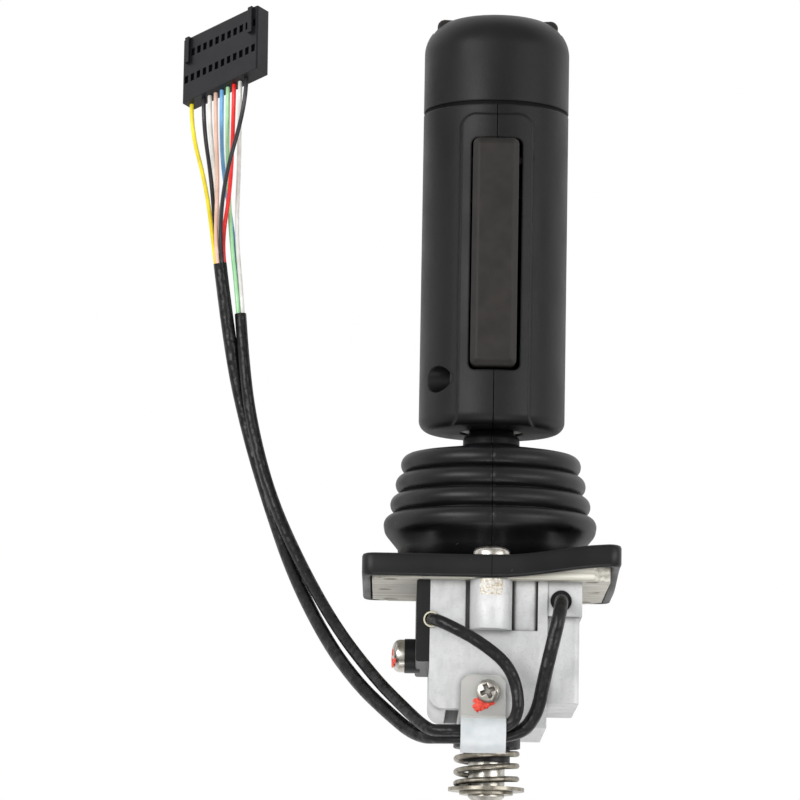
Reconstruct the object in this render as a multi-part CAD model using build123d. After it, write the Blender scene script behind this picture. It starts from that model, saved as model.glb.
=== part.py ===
from build123d import *
import math
import os

# Industrial single-axis joystick with a trigger and a thumb rocker, in mm.
# It is drawn upright: z runs up the lever, the trigger faces -y, x is to the right,
# and z = 0 is the underside of the metal flange plate.
# At the end everything is laid on its back, as a loose joystick rests on a bench:
# the rubber flange edge and the back of the cap touch the table.

os.makedirs("parts", exist_ok=True)

# Clearances
RUN = 0.05           # radial, turning and sliding fits
SEAT = 0.02          # parts that are held fast in a bore
GAP = 0.3            # free surfaces that never touch
FIT_LOOSE = 0.25     # screw shank in a clearance hole

# Flange plate and housing casting
PLATE = 70.0
PLATE_T = 4.5
PLATE_CHAMFER = 5.0
PLATE_HOLE_R = 20.0
MOUNT_OFFSET = 29.5
MOUNT_HOLE_R = 2.25
RUBBER_HOLE_R = 2.6
FRONT_Y = 31.0
LEFT_X = 17.8
RIGHT_X = 16.7
BODY_H = 43.0
BODY_STEP = 5.0
BODY_STEP_X = 9.0
WALL_X = 12.7
WALL_Y = 26.5
FLOOR_T = 4.5
SIDE_X = 26.8
SIDE_FRONT = 30.6
SIDE_TOP_H = 10.2
SIDE_H = 35.6
SIDE_SET_BACK = 2.4
SIDE_WALL = 3.0
POCKET_LEFT = 7.4
POCKET_RIGHT = 13.8
POCKET_H = 14.7
POCKET_DEPTH = 3.0
BOSS_R = 6.2
SCREW_PITCH_R = 31.2
RIB_W = 7.0
RIB_OFFSET = 10.0
RIB_DEPTH = 2.4
CABLE_HOLE_X = 20.6
CABLE_HOLE_Z = -5.7
CABLE_HOLE_R = 3.1
PASSAGE = 8.0

# Rubber boot
FLANGE = 76.0
FLANGE_TOP = 7.0
FLANGE_LIP_Z = 0.3
FLANGE_CORNER = 3.5
COLLAR_R = 27.2
COLLAR_INNER_R = 23.2
COLLAR_TOP = 15.5
RING_TUBE_R = 3.15
RINGS = ((32.0, 19.3), (30.1, 25.5), (28.6, 31.6), (27.1, 37.6))
RUBBER_T = 1.7
GROOVE_DEPTH = 2.6
DOME_Z = 41.2
NECK_BASE_R = 8.7
NECK_TOP_R = 8.3
NECK_TOP = 47.9

# Flange screws
SCREW_HEAD_R = 5.45
SCREW_HEAD_H = 3.0
SCREW_R = 1.9
SCREW_END = 0.4

# Lever mechanism
PIVOT_Z = -20.0
AXLE_R = 3.0
BUSH_R = 4.5
HUB_X = 9.5
HUB_Y = 8.0
HUB_UP = 4.0
HUB_DOWN = 5.0
NECK_X = 5.8
NECK_Y = 7.0
NECK_UP = 10.0
WING_Y = 14.0
WING_T = 7.0
LIFT = 4.3
STRAP_IN = 9.8
STRAP_OUT = 12.2
STRAP_W = 7.0
CROSS_BOTTOM = -12.0
CROSS_TOP = -9.8
CROSS_Y = 16.0
CROSS_SLOT_Y = 10.5
CROSS_SLOT_X = 6.0
HEAD_TOP = -32.0
HEAD_BOTTOM = -35.0

# Return plunger under the housing
ROD_R = 5.45
ROD_END = -63.0
ROD_CHAMFER = 1.2
BUSH_FLANGE_R = 10.0
BUSH_FLANGE_T = 4.3
BUSH_HUB_R = 7.0
BUSH_HUB_END = -BODY_H - BUSH_FLANGE_T - 4.2
WASHER_R = 11.35
WASHER_TOP = -BODY_H - BUSH_FLANGE_T - 11.7
WASHER_T = 1.1
CLIP_RING_R = 8.0
CLIP_RING_T = 1.0
GROOVE_R = 4.6
SPRING_OUTER_R = 9.9
SPRING_WIRE = 1.7
SPRING_TURNS = 3.0

# Sensor side
COVER_X = 21.8
COVER_H = 24.2
COVER_BACK = 24.0
COVER_BOSS_R = 5.15
COVER_BOSS_X = 25.0
COVER_WALL = 1.4
END_SCREW_HEAD_R = 4.9
END_SCREW_HEAD_H = 3.9
END_SCREW_R = 2.0
FERRULE_X = -17.4
FERRULE_Z = -11.8
FERRULE_R = 2.35
FERRULE_FRONT = 31.6
FERRULE_BACK = 25.8
BOARD_T = 0.8
MAGNET_R = 2.5
MAGNET_T = 1.6
AXLE_LEFT = -17.0
AXLE_RIGHT = 15.5

# Cable clip
CLIP_X = -1.85
CLIP_W = 13.2
CLIP_T = 1.1
CLIP_SCREW_X = -0.6
CLIP_SCREW_Z = -32.8
CLIP_SCREW_HEAD_R = 3.45
CLIP_SCREW_HEAD_H = 2.0
CLIP_SCREW_R = 1.6
CLIP_SCREW_LENGTH = 4.0
CLIP_TOP = -28.0
LOOP_Y = -36.6
LOOP_Z = -45.6
LOOP_INNER_R = 4.4

# Lever shaft and grip
SHAFT_R = 5.0
SHAFT_TOP = 140.0
NUT_FLATS = 16.0
NUT_T = 3.2
NUT_Z = 48.0
GRIP_R = 22.0
GRIP_INNER_R = 19.0
GRIP_BOTTOM = 47.7
GRIP_TOP = 144.5
GRIP_CORNER = 3.5
GRIP_FLOOR = 6.3
NUT_RECESS_R = 9.6
NUT_RECESS_H = 3.6
LIP_Z = 140.0
LIP_R = 17.0
PANEL_W = 22.4
PANEL_BOTTOM = 44.0
PANEL_TOP = 140.9
PANEL_RAISE = 1.5
PANEL_BEVEL = 1.7
PANEL_SLOPE = 20.0
PANEL_CORNER = 3.5
WINDOW_W = 15.3
WINDOW_CORNER = 2.0
WINDOW_TOP = 134.0
RIB_Z = (57.0, 118.0)
RIB_T = 3.0
RIB_FRONT_Y = -8.8
RIB_FRONT_X = 9.0
GRIP_SCREWS = ((-14.1, 61.8), (13.0, 61.8), (13.0, 132.0))
SHELL_BOSS_R = 5.2
SHELL_POST_R = 3.2
SHELL_SEAT_X = 10.5
SHELL_SCREW_HEAD_R = 3.2
SHELL_SCREW_HEAD_T = 2.4
SHELL_COUNTERBORE_R = 4.0
SHELL_SCREW_R = 1.5
SHELL_SCREW_LENGTH = 17.0

# Trigger
TRIGGER_W = 13.7
TRIGGER_H = 68.9
TRIGGER_SHIFT = -0.3
TRIGGER_TOP_GAP = 0.5
TRIGGER_BOTTOM_GAP = 0.9
WINDOW_BOTTOM = WINDOW_TOP - TRIGGER_TOP_GAP - TRIGGER_H - TRIGGER_BOTTOM_GAP
TRIGGER_FRONT = 27.0
TRIGGER_BACK = 16.3
TRIGGER_FLOOR = 19.6
TRIGGER_BEVEL = 1.7
TRIGGER_PIN_Y = -18.2
TRIGGER_PIN_Z = 128.0
TRIGGER_PIN_R = 1.25
TRIGGER_PIN_HALF = 11.0
TRIGGER_SPRING_Z = 104.0
TRIGGER_SPRING_R = 2.2
TRIGGER_SPRING_WIRE = 0.6
TRIGGER_SPRING_TURNS = 5.0
SWITCH_BOARD_Y = -8.5
SWITCH_BOARD_T = 1.6
SWITCH_BOARD_W = 14.0
SWITCH_BOARD_BOTTOM = 68.0
SWITCH_BOARD_TOP = 113.0
SWITCH_W = 6.4
SWITCH_H = 20.0
SWITCH_D = 7.8
SWITCH_Z = 86.0
SWITCH_BUTTON_R = 1.5
SWITCH_BUTTON_H = 0.6

# Cap and thumb rocker
GASKET_R = 21.4
CAP_BOTTOM = 145.7
CAP_TOP = 173.8
CAP_ROUND = 10.3
CAP_WALL = 3.0
SPIGOT_DEPTH = 4.6
POCKET_HALF_X = 19.5
POCKET_HALF_Y = 6.5
POCKET_FLOOR = 158.0
POCKET_FLOOR_T = 2.0
ROCKER_HALF_X = 18.0
ROCKER_HALF_Y = 6.2
ROCKER_END_BOTTOM = 168.5
ROCKER_TOP = 172.7
ROCKER_DISH = 170.8
ROCKER_ROUND = 3.0
ROCKER_BOTTOM = 161.5
ROCKER_HUB_HALF_X = 5.0
ROCKER_PIN_Z = 164.6
ROCKER_PIN_R = 1.25
ROCKER_PIN_HALF = 11.0
ROCKER_SWITCH_X = 8.0
ROCKER_SWITCH_W = 6.0
ROCKER_SWITCH_BOTTOM = 148.5
ROCKER_SWITCH_D = 11.0
ROCKER_STEM_R = 1.5
ROCKER_STEM_TOP = 161.6

# Cables, connector and the laid-down pose
RIGHT_SLEEVE_D = 4.1
LEFT_SLEEVE_D = 3.6
WIRE_D = 1.3
WIRE_PITCH = 2.54
WIRE_STUB = 7.0
CONNECTOR_W = 31.2
CONNECTOR_L = 22.4
CONNECTOR_T = 5.2
CONNECTOR_RAIL_W = 1.6
CONNECTOR_RAIL_T = 1.0
CONNECTOR_WINDOW = 1.5
CONNECTOR_WINDOW_L = 2.6
CONNECTOR_WINDOW_DEPTH = 1.2
CONNECTOR_ROWS = (6.5, 15.5)
CONNECTOR_AT = (-84.7, 162.4, -20.2)
CONNECTOR_ACROSS = (0.745, 0.296, 0.598)
CONNECTOR_DOWN = (0.015, -0.905, 0.426)
GRIP_WIRE_RING = 1.33
SENSOR_WIRE_RING = 0.8
WIRE_ARRIVAL = 9.0
BUNDLE_DEPTH = 3.6
BUNDLE_RISE = 1.56
SENSOR_ROUTE = ((-17.9, -40.8, 39.5), (-25.5, -34.2, 28.0), (-33.5, -26.7, 15.0), (-45.6, -12.1, -3.5),
                (-56.5, 6.0, -18.6), (-66.3, 26.1, -29.8), (-72.2, 45.7, -32.6), (-75.7, 64.7, -33.3),
                (-77.4, 84.0, -36.7))
GRIP_ROUTE = ((-21.0, -43.1, 31.0), (-29.9, -36.2, 22.0), (-38.9, -28.1, 12.5), (-48.5, -15.9, -3.0),
              (-59.0, 3.2, -21.0), (-67.2, 24.9, -34.0), (-74.3, 47.0, -36.4), (-80.3, 72.0, -36.4),
              (-84.0, 99.5, -36.4))
# Each wire: angle in its sleeve's end face, wire way, and the points it is led through
GRIP_WIRES = {"wire_yellow": (180, 0, [(-88.6, 123.2, -31.0)]),
              "wire_black": (240, 2, [(-86.9, 124.2, -34.5)]),
              "wire_white": (300, 3, [(-85.8, 125.6, -33.0)]),
              "wire_pink": (120, 4, [(-84.8, 124.0, -28.5)]),
              "wire_black_right": (60, 9, [(-82.7, 123.9, -20.0)]),
              "wire_red": (0, 7, [(-80.9, 121.7, -29.0)])}
SENSOR_WIRES = {"wire_green": (150, 6, [(-80.7, 106.8, -36.0), (-82.1, 128.7, -32.0)]),
                "wire_blue": (270, 5, [(-80.2, 109.4, -37.6), (-83.9, 129.8, -35.0)]),
                "wire_white_right": (30, 8, [(-79.2, 109.2, -35.5), (-78.4, 129.3, -28.0)])}

# The back of the rubber flange and the back of the cap share one level
LEAN = math.degrees(math.atan2(FLANGE / 2 - GRIP_R, CAP_TOP - CAP_ROUND - FLANGE_TOP))
LAID = Rotation(-90 - LEAN, 0, 0)
PIVOT_LEVEL = Pos(0, 0, PIVOT_Z)


def block(x, y, z):
    """Box from three (low, high) pairs."""
    size = [high - low for low, high in (x, y, z)]
    middle = [(high + low) / 2 for low, high in (x, y, z)]
    return Pos(*middle) * Box(*size)


def rod_z(radius, low, high, x=0.0, y=0.0):
    """Upright cylinder from z = low to z = high."""
    return Pos(x, y, (low + high) / 2) * Cylinder(radius, high - low)


def rod_x(radius, low, high, y=0.0, z=0.0):
    """Cylinder along x."""
    return Pos((low + high) / 2, y, z) * Rotation(0, 90, 0) * Cylinder(radius, high - low)


def rod_y(radius, low, high, x=0.0, z=0.0):
    """Cylinder along y."""
    return Pos(x, (low + high) / 2, z) * Rotation(90, 0, 0) * Cylinder(radius, high - low)


def around(angles, shape):
    """Copies of a shape turned about the lever axis."""
    return [Rotation(0, 0, angle) * shape for angle in angles]


def coil(radius, wire, bottom, top, turns):
    """Helical spring between two levels, with the wire inside them."""
    height = top - bottom - wire
    path = Pos(0, 0, bottom + wire / 2) * Helix(height / turns, height, radius)
    return sweep(Plane(origin=path @ 0, z_dir=path % 0) * Circle(wire / 2), path=path)


def housing_outside():
    """Main block, its side block for the wires and the chamfered flange plate."""
    plate = block((-PLATE / 2, PLATE / 2), (-PLATE / 2, PLATE / 2), (0, PLATE_T))
    plate = chamfer(plate.edges().filter_by(Axis.Z), PLATE_CHAMFER)
    body = block((-LEFT_X, RIGHT_X), (-FRONT_Y, FRONT_Y), (-BODY_H, 0))
    body -= block((-LEFT_X, -BODY_STEP_X), (-FRONT_Y, FRONT_Y), (-BODY_H, BODY_STEP - BODY_H))
    corner = body.edges().filter_by(Axis.Y).group_by(Axis.X)[0].sort_by(Axis.Z)[0]
    body = fillet(corner, 4.0)
    upper = block((RIGHT_X, SIDE_X), (-SIDE_FRONT, SIDE_FRONT), (-SIDE_TOP_H, 0))
    lower_front = SIDE_FRONT - SIDE_SET_BACK
    lower = block((RIGHT_X, SIDE_X - 0.6), (-lower_front, lower_front), (-SIDE_H, -SIDE_TOP_H))
    lower = fillet(lower.edges().filter_by(Axis.Z).group_by(Axis.X)[-1], 1.5)
    return plate + body + upper + lower


def gimbal_housing():
    """Casting with the lever chamber, wire chamber, bearing bores and screw bosses."""
    body = housing_outside()
    pocket = block((-POCKET_LEFT, POCKET_RIGHT), (-FRONT_Y, -FRONT_Y + POCKET_DEPTH), (-POCKET_H, 0))
    body -= pocket
    rib = block((RIB_OFFSET - RIB_W / 2, RIB_OFFSET + RIB_W / 2),
                (-FRONT_Y + POCKET_DEPTH - RIB_DEPTH, -FRONT_Y + POCKET_DEPTH), (-POCKET_H, 0))
    body += fillet(rib.edges().filter_by(Axis.Z).group_by(Axis.Y)[0], 1.2)
    for boss in around((0, 180), rod_z(BOSS_R, -POCKET_H, 0, 0, -SCREW_PITCH_R)):
        body += boss
    body -= block((-WALL_X, WALL_X), (-WALL_Y, WALL_Y), (-BODY_H + FLOOR_T, 0))
    side = (-SIDE_FRONT + SIDE_SET_BACK + SIDE_WALL, SIDE_FRONT - SIDE_SET_BACK - SIDE_WALL)
    body -= block((RIGHT_X, SIDE_X - SIDE_WALL), side, (-SIDE_H + SIDE_WALL, 0))
    body -= rod_z(PLATE_HOLE_R, 0, PLATE_T)
    body -= block((WALL_X, RIGHT_X), (-WALL_Y + 4, -WALL_Y + 4 + PASSAGE), (-PASSAGE - 3, -3))
    body -= rod_y(CABLE_HOLE_R, -SIDE_FRONT, side[0], CABLE_HOLE_X, CABLE_HOLE_Z)
    body -= rod_x(BUSH_R, -LEFT_X, -WALL_X, 0, PIVOT_Z)
    body -= rod_x(BUSH_R, WALL_X, RIGHT_X, 0, PIVOT_Z)
    body -= rod_z(BUSH_HUB_R, -BODY_H, -BODY_H + FLOOR_T)
    body -= rod_y(FERRULE_R, -FRONT_Y, -FERRULE_BACK + GAP, FERRULE_X, FERRULE_Z)
    body -= rod_y(CLIP_SCREW_R, -FRONT_Y, -FRONT_Y + CLIP_SCREW_LENGTH, CLIP_SCREW_X, CLIP_SCREW_Z)
    for bore in around((0, 90, 180, 270), rod_z(SCREW_R, 0, PLATE_T, 0, -SCREW_PITCH_R)):
        body -= bore
    for x in (-MOUNT_OFFSET, MOUNT_OFFSET):
        for y in (-MOUNT_OFFSET, MOUNT_OFFSET):
            body -= rod_z(MOUNT_HOLE_R, 0, PLATE_T, x, y)
    return body


def axle_bushes():
    """Two plain bearings pressed into the housing walls."""
    left = rod_x(BUSH_R, -LEFT_X, -WALL_X, 0, PIVOT_Z)
    right = rod_x(BUSH_R, WALL_X, RIGHT_X, 0, PIVOT_Z)
    bore = rod_x(AXLE_R + RUN, -LEFT_X, RIGHT_X, 0, PIVOT_Z)
    return Compound([left - bore, right - bore])


def bellows_section():
    """Right half of the boot's wall in the x-z plane: collar, four rings, dome and neck."""
    groove = [(radius - GROOVE_DEPTH, z) for radius, z in RINGS]
    inner = [(radius - RUBBER_T, z) for radius, z in groove]
    bore = SHAFT_R + RUN
    outline = [(COLLAR_INNER_R, PLATE_T), (COLLAR_R, PLATE_T), (COLLAR_R, COLLAR_TOP)]
    outline += groove
    outline += [(groove[-1][0] - RUBBER_T, DOME_Z), (NECK_BASE_R, DOME_Z + RUBBER_T)]
    outline += [(NECK_TOP_R, NECK_TOP), (bore, NECK_TOP), (bore, DOME_Z - RUBBER_T)]
    outline += list(reversed(inner))
    outline += [(COLLAR_INNER_R, COLLAR_TOP)]
    wall = make_face(Polyline(*outline, close=True))
    for radius, z in RINGS:
        wall += Pos(radius - RING_TUBE_R, z) * Circle(RING_TUBE_R)
    for radius, z in RINGS:
        centre = radius - RING_TUBE_R
        hollow = RING_TUBE_R - RUBBER_T
        wall -= Pos(centre, z) * Circle(hollow)
        wall -= Pos(centre - 3, z) * Rectangle(6, 2 * hollow * 0.8)
    return wall


def bellows_boot():
    """Moulded boot: square flange with a lip round the plate, collar, rings and neck."""
    flange = block((-FLANGE / 2, FLANGE / 2), (-FLANGE / 2, FLANGE / 2), (FLANGE_LIP_Z, FLANGE_TOP))
    flange = fillet(flange.edges().filter_by(Axis.Z), FLANGE_CORNER)
    plate = block((-PLATE / 2, PLATE / 2), (-PLATE / 2, PLATE / 2), (FLANGE_LIP_Z, PLATE_T))
    flange -= chamfer(plate.edges().filter_by(Axis.Z), PLATE_CHAMFER)
    flange -= rod_z(COLLAR_INNER_R, PLATE_T, FLANGE_TOP)
    bellows = revolve(Rotation(90, 0, 0) * bellows_section(), Axis.Z)
    boot = flange + bellows
    for relief in around((0, 90, 180, 270), rod_z(SCREW_HEAD_R + GAP, FLANGE_TOP, COLLAR_TOP,
                                                 0, -SCREW_PITCH_R)):
        boot -= relief
    for bore in around((0, 90, 180, 270), rod_z(SCREW_R + FIT_LOOSE, PLATE_T, FLANGE_TOP,
                                               0, -SCREW_PITCH_R)):
        boot -= bore
    for x in (-MOUNT_OFFSET, MOUNT_OFFSET):
        for y in (-MOUNT_OFFSET, MOUNT_OFFSET):
            boot -= rod_z(RUBBER_HOLE_R, PLATE_T, FLANGE_TOP, x, y)
    return boot


def flange_screws():
    """Four pan-head screws through the rubber flange into the plate."""
    head = rod_z(SCREW_HEAD_R, FLANGE_TOP, FLANGE_TOP + SCREW_HEAD_H, 0, -SCREW_PITCH_R)
    head = fillet(head.edges().group_by(Axis.Z)[-1], 2.2)
    shank = rod_z(SCREW_R - SEAT, SCREW_END, FLANGE_TOP, 0, -SCREW_PITCH_R)
    return Compound(around((0, 90, 180, 270), head + shank))


def sensor_cover():
    """Black cover over the angle sensor, with a boss on the pivot line."""
    shell = block((-COVER_X, -LEFT_X), (-FRONT_Y, COVER_BACK), (-COVER_H, 0))
    shell = fillet(shell.edges().filter_by(Axis.Y).group_by(Axis.X)[0], 0.8)
    shell -= block((-COVER_X + COVER_WALL, -LEFT_X), (-FERRULE_BACK, COVER_BACK - 5),
                   (-COVER_H + 1.5, -2))
    shell += rod_x(COVER_BOSS_R, -COVER_BOSS_X, -COVER_X + COVER_WALL, 0, PIVOT_Z)
    shell -= rod_x(END_SCREW_R, -COVER_BOSS_X, -COVER_X + COVER_WALL, 0, PIVOT_Z)
    shell -= rod_y(FERRULE_R, -FRONT_Y, -FERRULE_BACK, FERRULE_X, FERRULE_Z)
    return shell


def end_screw():
    """Screw in the end of the cover's boss."""
    head = rod_x(END_SCREW_HEAD_R, -COVER_BOSS_X - END_SCREW_HEAD_H, -COVER_BOSS_X, 0, PIVOT_Z)
    head = fillet(head.edges().group_by(Axis.X)[0], 2.8)
    return head + rod_x(END_SCREW_R - SEAT, -COVER_BOSS_X, -COVER_X + 1, 0, PIVOT_Z)


def sensor_board():
    """Small circuit board that faces the magnet."""
    outer = -COVER_X + COVER_WALL
    return block((outer, outer + BOARD_T), (-20, 14), (-COVER_H + 2.5, -4))


def cable_ferrule():
    """Ring that lines the sensor cable's exit."""
    ring = rod_y(FERRULE_R - SEAT, -FERRULE_FRONT, -FERRULE_BACK, FERRULE_X, FERRULE_Z)
    return ring - rod_y(LEFT_SLEEVE_D / 2 + RUN, -FERRULE_FRONT, -FERRULE_BACK, FERRULE_X, FERRULE_Z)


def cable_grommet():
    """Rubber ring in the right cable hole."""
    back = -SIDE_FRONT + SIDE_SET_BACK + SIDE_WALL
    ring = rod_y(CABLE_HOLE_R - SEAT, -SIDE_FRONT + 0.8, back, CABLE_HOLE_X, CABLE_HOLE_Z)
    return ring - rod_y(RIGHT_SLEEVE_D / 2 + RUN, -SIDE_FRONT, back, CABLE_HOLE_X, CABLE_HOLE_Z)


def cable_clip():
    """Strap folded round both cables, with its two ends under one screw."""
    outer = rod_x(LOOP_INNER_R + CLIP_T, CLIP_X - CLIP_W / 2, CLIP_X + CLIP_W / 2, LOOP_Y, LOOP_Z)
    tab = block((CLIP_X - CLIP_W / 2, CLIP_X + CLIP_W / 2), (-FRONT_Y - 2 * CLIP_T, -FRONT_Y),
                (LOOP_Z, CLIP_TOP))
    tab = chamfer(tab.edges().filter_by(Axis.Y).group_by(Axis.Z)[-1], 2.0)
    clip = outer + tab
    clip -= rod_x(LOOP_INNER_R, CLIP_X - CLIP_W / 2, CLIP_X + CLIP_W / 2, LOOP_Y, LOOP_Z)
    clip -= rod_y(CLIP_SCREW_R + FIT_LOOSE, -FRONT_Y - 2 * CLIP_T, -FRONT_Y, CLIP_SCREW_X, CLIP_SCREW_Z)
    return clip


def clip_screw():
    """Pan-head screw of the cable clip."""
    seat = -FRONT_Y - 2 * CLIP_T
    head = rod_y(CLIP_SCREW_HEAD_R, seat - CLIP_SCREW_HEAD_H, seat, CLIP_SCREW_X, CLIP_SCREW_Z)
    head = fillet(head.edges().group_by(Axis.Y)[0], 1.1)
    return head + rod_y(CLIP_SCREW_R - SEAT, seat, -FRONT_Y + CLIP_SCREW_LENGTH - GAP,
                        CLIP_SCREW_X, CLIP_SCREW_Z)


def lever_hub():
    """Steel block on the axle, with a wing to the front and one to the back."""
    hub = block((-HUB_X, HUB_X), (-HUB_Y, HUB_Y), (PIVOT_Z - HUB_DOWN, PIVOT_Z + HUB_UP))
    hub += block((-NECK_X, NECK_X), (-NECK_Y, NECK_Y), (PIVOT_Z, PIVOT_Z + NECK_UP))
    hub += block((-HUB_X + 1, HUB_X - 1), (-WING_Y, WING_Y),
                 (PIVOT_Z - WING_T / 2, PIVOT_Z + WING_T / 2))
    return hub - rod_x(AXLE_R, -HUB_X, HUB_X, 0, PIVOT_Z)


def pivot_axle():
    """Axle that turns with the lever in the two bushes."""
    return rod_x(AXLE_R - SEAT, AXLE_LEFT, AXLE_RIGHT, 0, PIVOT_Z)


def magnet():
    """Sensor magnet on the axle's left end."""
    return rod_x(MAGNET_R, AXLE_LEFT - MAGNET_T, AXLE_LEFT, 0, PIVOT_Z)


def lever_shaft():
    """Steel rod from the hub up into the grip."""
    shaft = rod_z(SHAFT_R, PIVOT_Z + NECK_UP, SHAFT_TOP)
    return chamfer(shaft.edges().group_by(Axis.Z)[-1], 1.0)


def jam_nut():
    """Hexagon nut that locks the grip on the shaft."""
    nut = extrude(Pos(0, 0, NUT_Z) * RegularPolygon(NUT_FLATS / 2, 6, major_radius=False), NUT_T)
    return nut - rod_z(SHAFT_R, NUT_Z, NUT_Z + NUT_T)


def grip_outside():
    """Round grip with the raised panel on its front."""
    grip = rod_z(GRIP_R, GRIP_BOTTOM, GRIP_TOP)
    grip = fillet(grip.edges().group_by(Axis.Z)[0], GRIP_CORNER)
    sheet = RectangleRounded(PANEL_W - 2 * PANEL_BEVEL, PANEL_TOP - PANEL_BOTTOM, PANEL_CORNER)
    front = Plane(origin=(0, -GRIP_R - PANEL_RAISE, (PANEL_TOP + PANEL_BOTTOM) / 2),
                  x_dir=(1, 0, 0), z_dir=(0, 1, 0))
    panel = extrude(front * sheet, GRIP_R / 2, taper=-PANEL_SLOPE)
    envelope = rod_z(GRIP_R + PANEL_RAISE, GRIP_BOTTOM, GRIP_TOP)
    panel &= fillet(envelope.edges().group_by(Axis.Z)[0], GRIP_CORNER)
    return grip + panel


def screw_posts(side):
    """Posts for the clamp screws in one shell; side is -1 for left and 1 for right."""
    posts = []
    for y, z in GRIP_SCREWS:
        inner = sorted((0, side * SHELL_SEAT_X))
        outer = sorted((side * (SHELL_SEAT_X - 1.5), side * GRIP_R))
        posts.append(rod_x(SHELL_POST_R, *inner, y, z))
        posts.append(rod_x(SHELL_BOSS_R, *outer, y, z))
    return posts


def grip_shell(side):
    """One half of the grip; side is -1 for left and 1 for right."""
    solid = grip_outside()
    hollow = rod_z(GRIP_INNER_R, GRIP_BOTTOM + GRIP_FLOOR, LIP_Z)
    shell = solid - hollow
    for z in RIB_Z:
        rib = rod_z(GRIP_INNER_R, z, z + RIB_T)
        rib -= block((-RIB_FRONT_X, RIB_FRONT_X), (-GRIP_R, RIB_FRONT_Y), (z, z + RIB_T))
        shell += rib
    for post in screw_posts(side):
        shell += post & solid
    shell -= rod_z(LIP_R, LIP_Z, GRIP_TOP)
    shell -= rod_z(SHAFT_R + SEAT, GRIP_BOTTOM, SHAFT_TOP)
    shell -= rod_z(NUT_RECESS_R, GRIP_BOTTOM, GRIP_BOTTOM + NUT_RECESS_H)
    window = block((-WINDOW_W / 2, WINDOW_W / 2), (-2 * GRIP_R, -GRIP_INNER_R / 2),
                   (WINDOW_BOTTOM, WINDOW_TOP))
    shell -= fillet(window.edges().filter_by(Axis.Y), WINDOW_CORNER)
    shell -= rod_x(TRIGGER_PIN_R, -TRIGGER_PIN_HALF, TRIGGER_PIN_HALF, TRIGGER_PIN_Y, TRIGGER_PIN_Z)
    for y, z in GRIP_SCREWS:
        shell -= rod_x(SHELL_SCREW_R, -SHELL_SEAT_X, SHELL_SCREW_LENGTH - SHELL_SEAT_X + GAP, y, z)
        shell -= rod_x(SHELL_COUNTERBORE_R, -2 * GRIP_R, -SHELL_SEAT_X, y, z)
    half = sorted((0, side * 2 * GRIP_R))
    shell &= block(half, (-2 * GRIP_R, 2 * GRIP_R), (GRIP_BOTTOM, GRIP_TOP))
    return shell


def grip_screws():
    """Three screws that clamp the grip halves together, heads on the left."""
    screws = []
    for y, z in GRIP_SCREWS:
        head = rod_x(SHELL_SCREW_HEAD_R, -SHELL_SEAT_X - SHELL_SCREW_HEAD_T, -SHELL_SEAT_X, y, z)
        head = fillet(head.edges().group_by(Axis.X)[0], 0.8)
        shank = rod_x(SHELL_SCREW_R - SEAT, -SHELL_SEAT_X, SHELL_SCREW_LENGTH - SHELL_SEAT_X, y, z)
        screws.append(head + shank)
    return Compound(screws)


def trigger_bar():
    """Long trigger hinged at its top end."""
    top = WINDOW_TOP - TRIGGER_TOP_GAP
    left = TRIGGER_SHIFT - TRIGGER_W / 2
    bar = block((left, left + TRIGGER_W), (-TRIGGER_FRONT, -TRIGGER_BACK), (top - TRIGGER_H, top))
    bar = fillet(bar.edges().filter_by(Axis.Y), WINDOW_CORNER)
    front = bar.faces().sort_by(Axis.Y)[0]
    bar = chamfer(front.edges(), TRIGGER_BEVEL)
    hollow = block((left + 2, left + TRIGGER_W - 2), (-TRIGGER_FLOOR, -TRIGGER_BACK),
                   (top - TRIGGER_H + 2.5, TRIGGER_PIN_Z - 4))
    bar -= hollow
    return bar - rod_x(TRIGGER_PIN_R + RUN, -GRIP_R, GRIP_R, TRIGGER_PIN_Y, TRIGGER_PIN_Z)


def trigger_pin():
    """Steel pin that the trigger turns on."""
    return rod_x(TRIGGER_PIN_R - SEAT, -TRIGGER_PIN_HALF + GAP, TRIGGER_PIN_HALF - GAP,
                 TRIGGER_PIN_Y, TRIGGER_PIN_Z)


def switch_board():
    """Board behind the trigger that carries its switch."""
    return block((-SWITCH_BOARD_W / 2, SWITCH_BOARD_W / 2),
                 (SWITCH_BOARD_Y, SWITCH_BOARD_Y + SWITCH_BOARD_T),
                 (SWITCH_BOARD_BOTTOM, SWITCH_BOARD_TOP))


def trigger_switch():
    """Micro switch with its button towards the trigger."""
    case = block((-SWITCH_W / 2, SWITCH_W / 2), (SWITCH_BOARD_Y - SWITCH_D, SWITCH_BOARD_Y),
                 (SWITCH_Z - SWITCH_H / 2, SWITCH_Z + SWITCH_H / 2))
    face = SWITCH_BOARD_Y - SWITCH_D
    return case + rod_y(SWITCH_BUTTON_R, face - SWITCH_BUTTON_H, face, 0, SWITCH_Z)


def trigger_spring():
    """Small coil between the board and the inside of the trigger."""
    span = TRIGGER_FLOOR + SWITCH_BOARD_Y
    spring = coil(TRIGGER_SPRING_R, TRIGGER_SPRING_WIRE, 0, span, TRIGGER_SPRING_TURNS)
    return Pos(0, SWITCH_BOARD_Y, TRIGGER_SPRING_Z) * Rotation(90, 0, 0) * spring


def cap_gasket():
    """Thin sealing ring between the grip and its cap."""
    return rod_z(GASKET_R, GRIP_TOP, CAP_BOTTOM) - rod_z(LIP_R, GRIP_TOP, CAP_BOTTOM)


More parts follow.
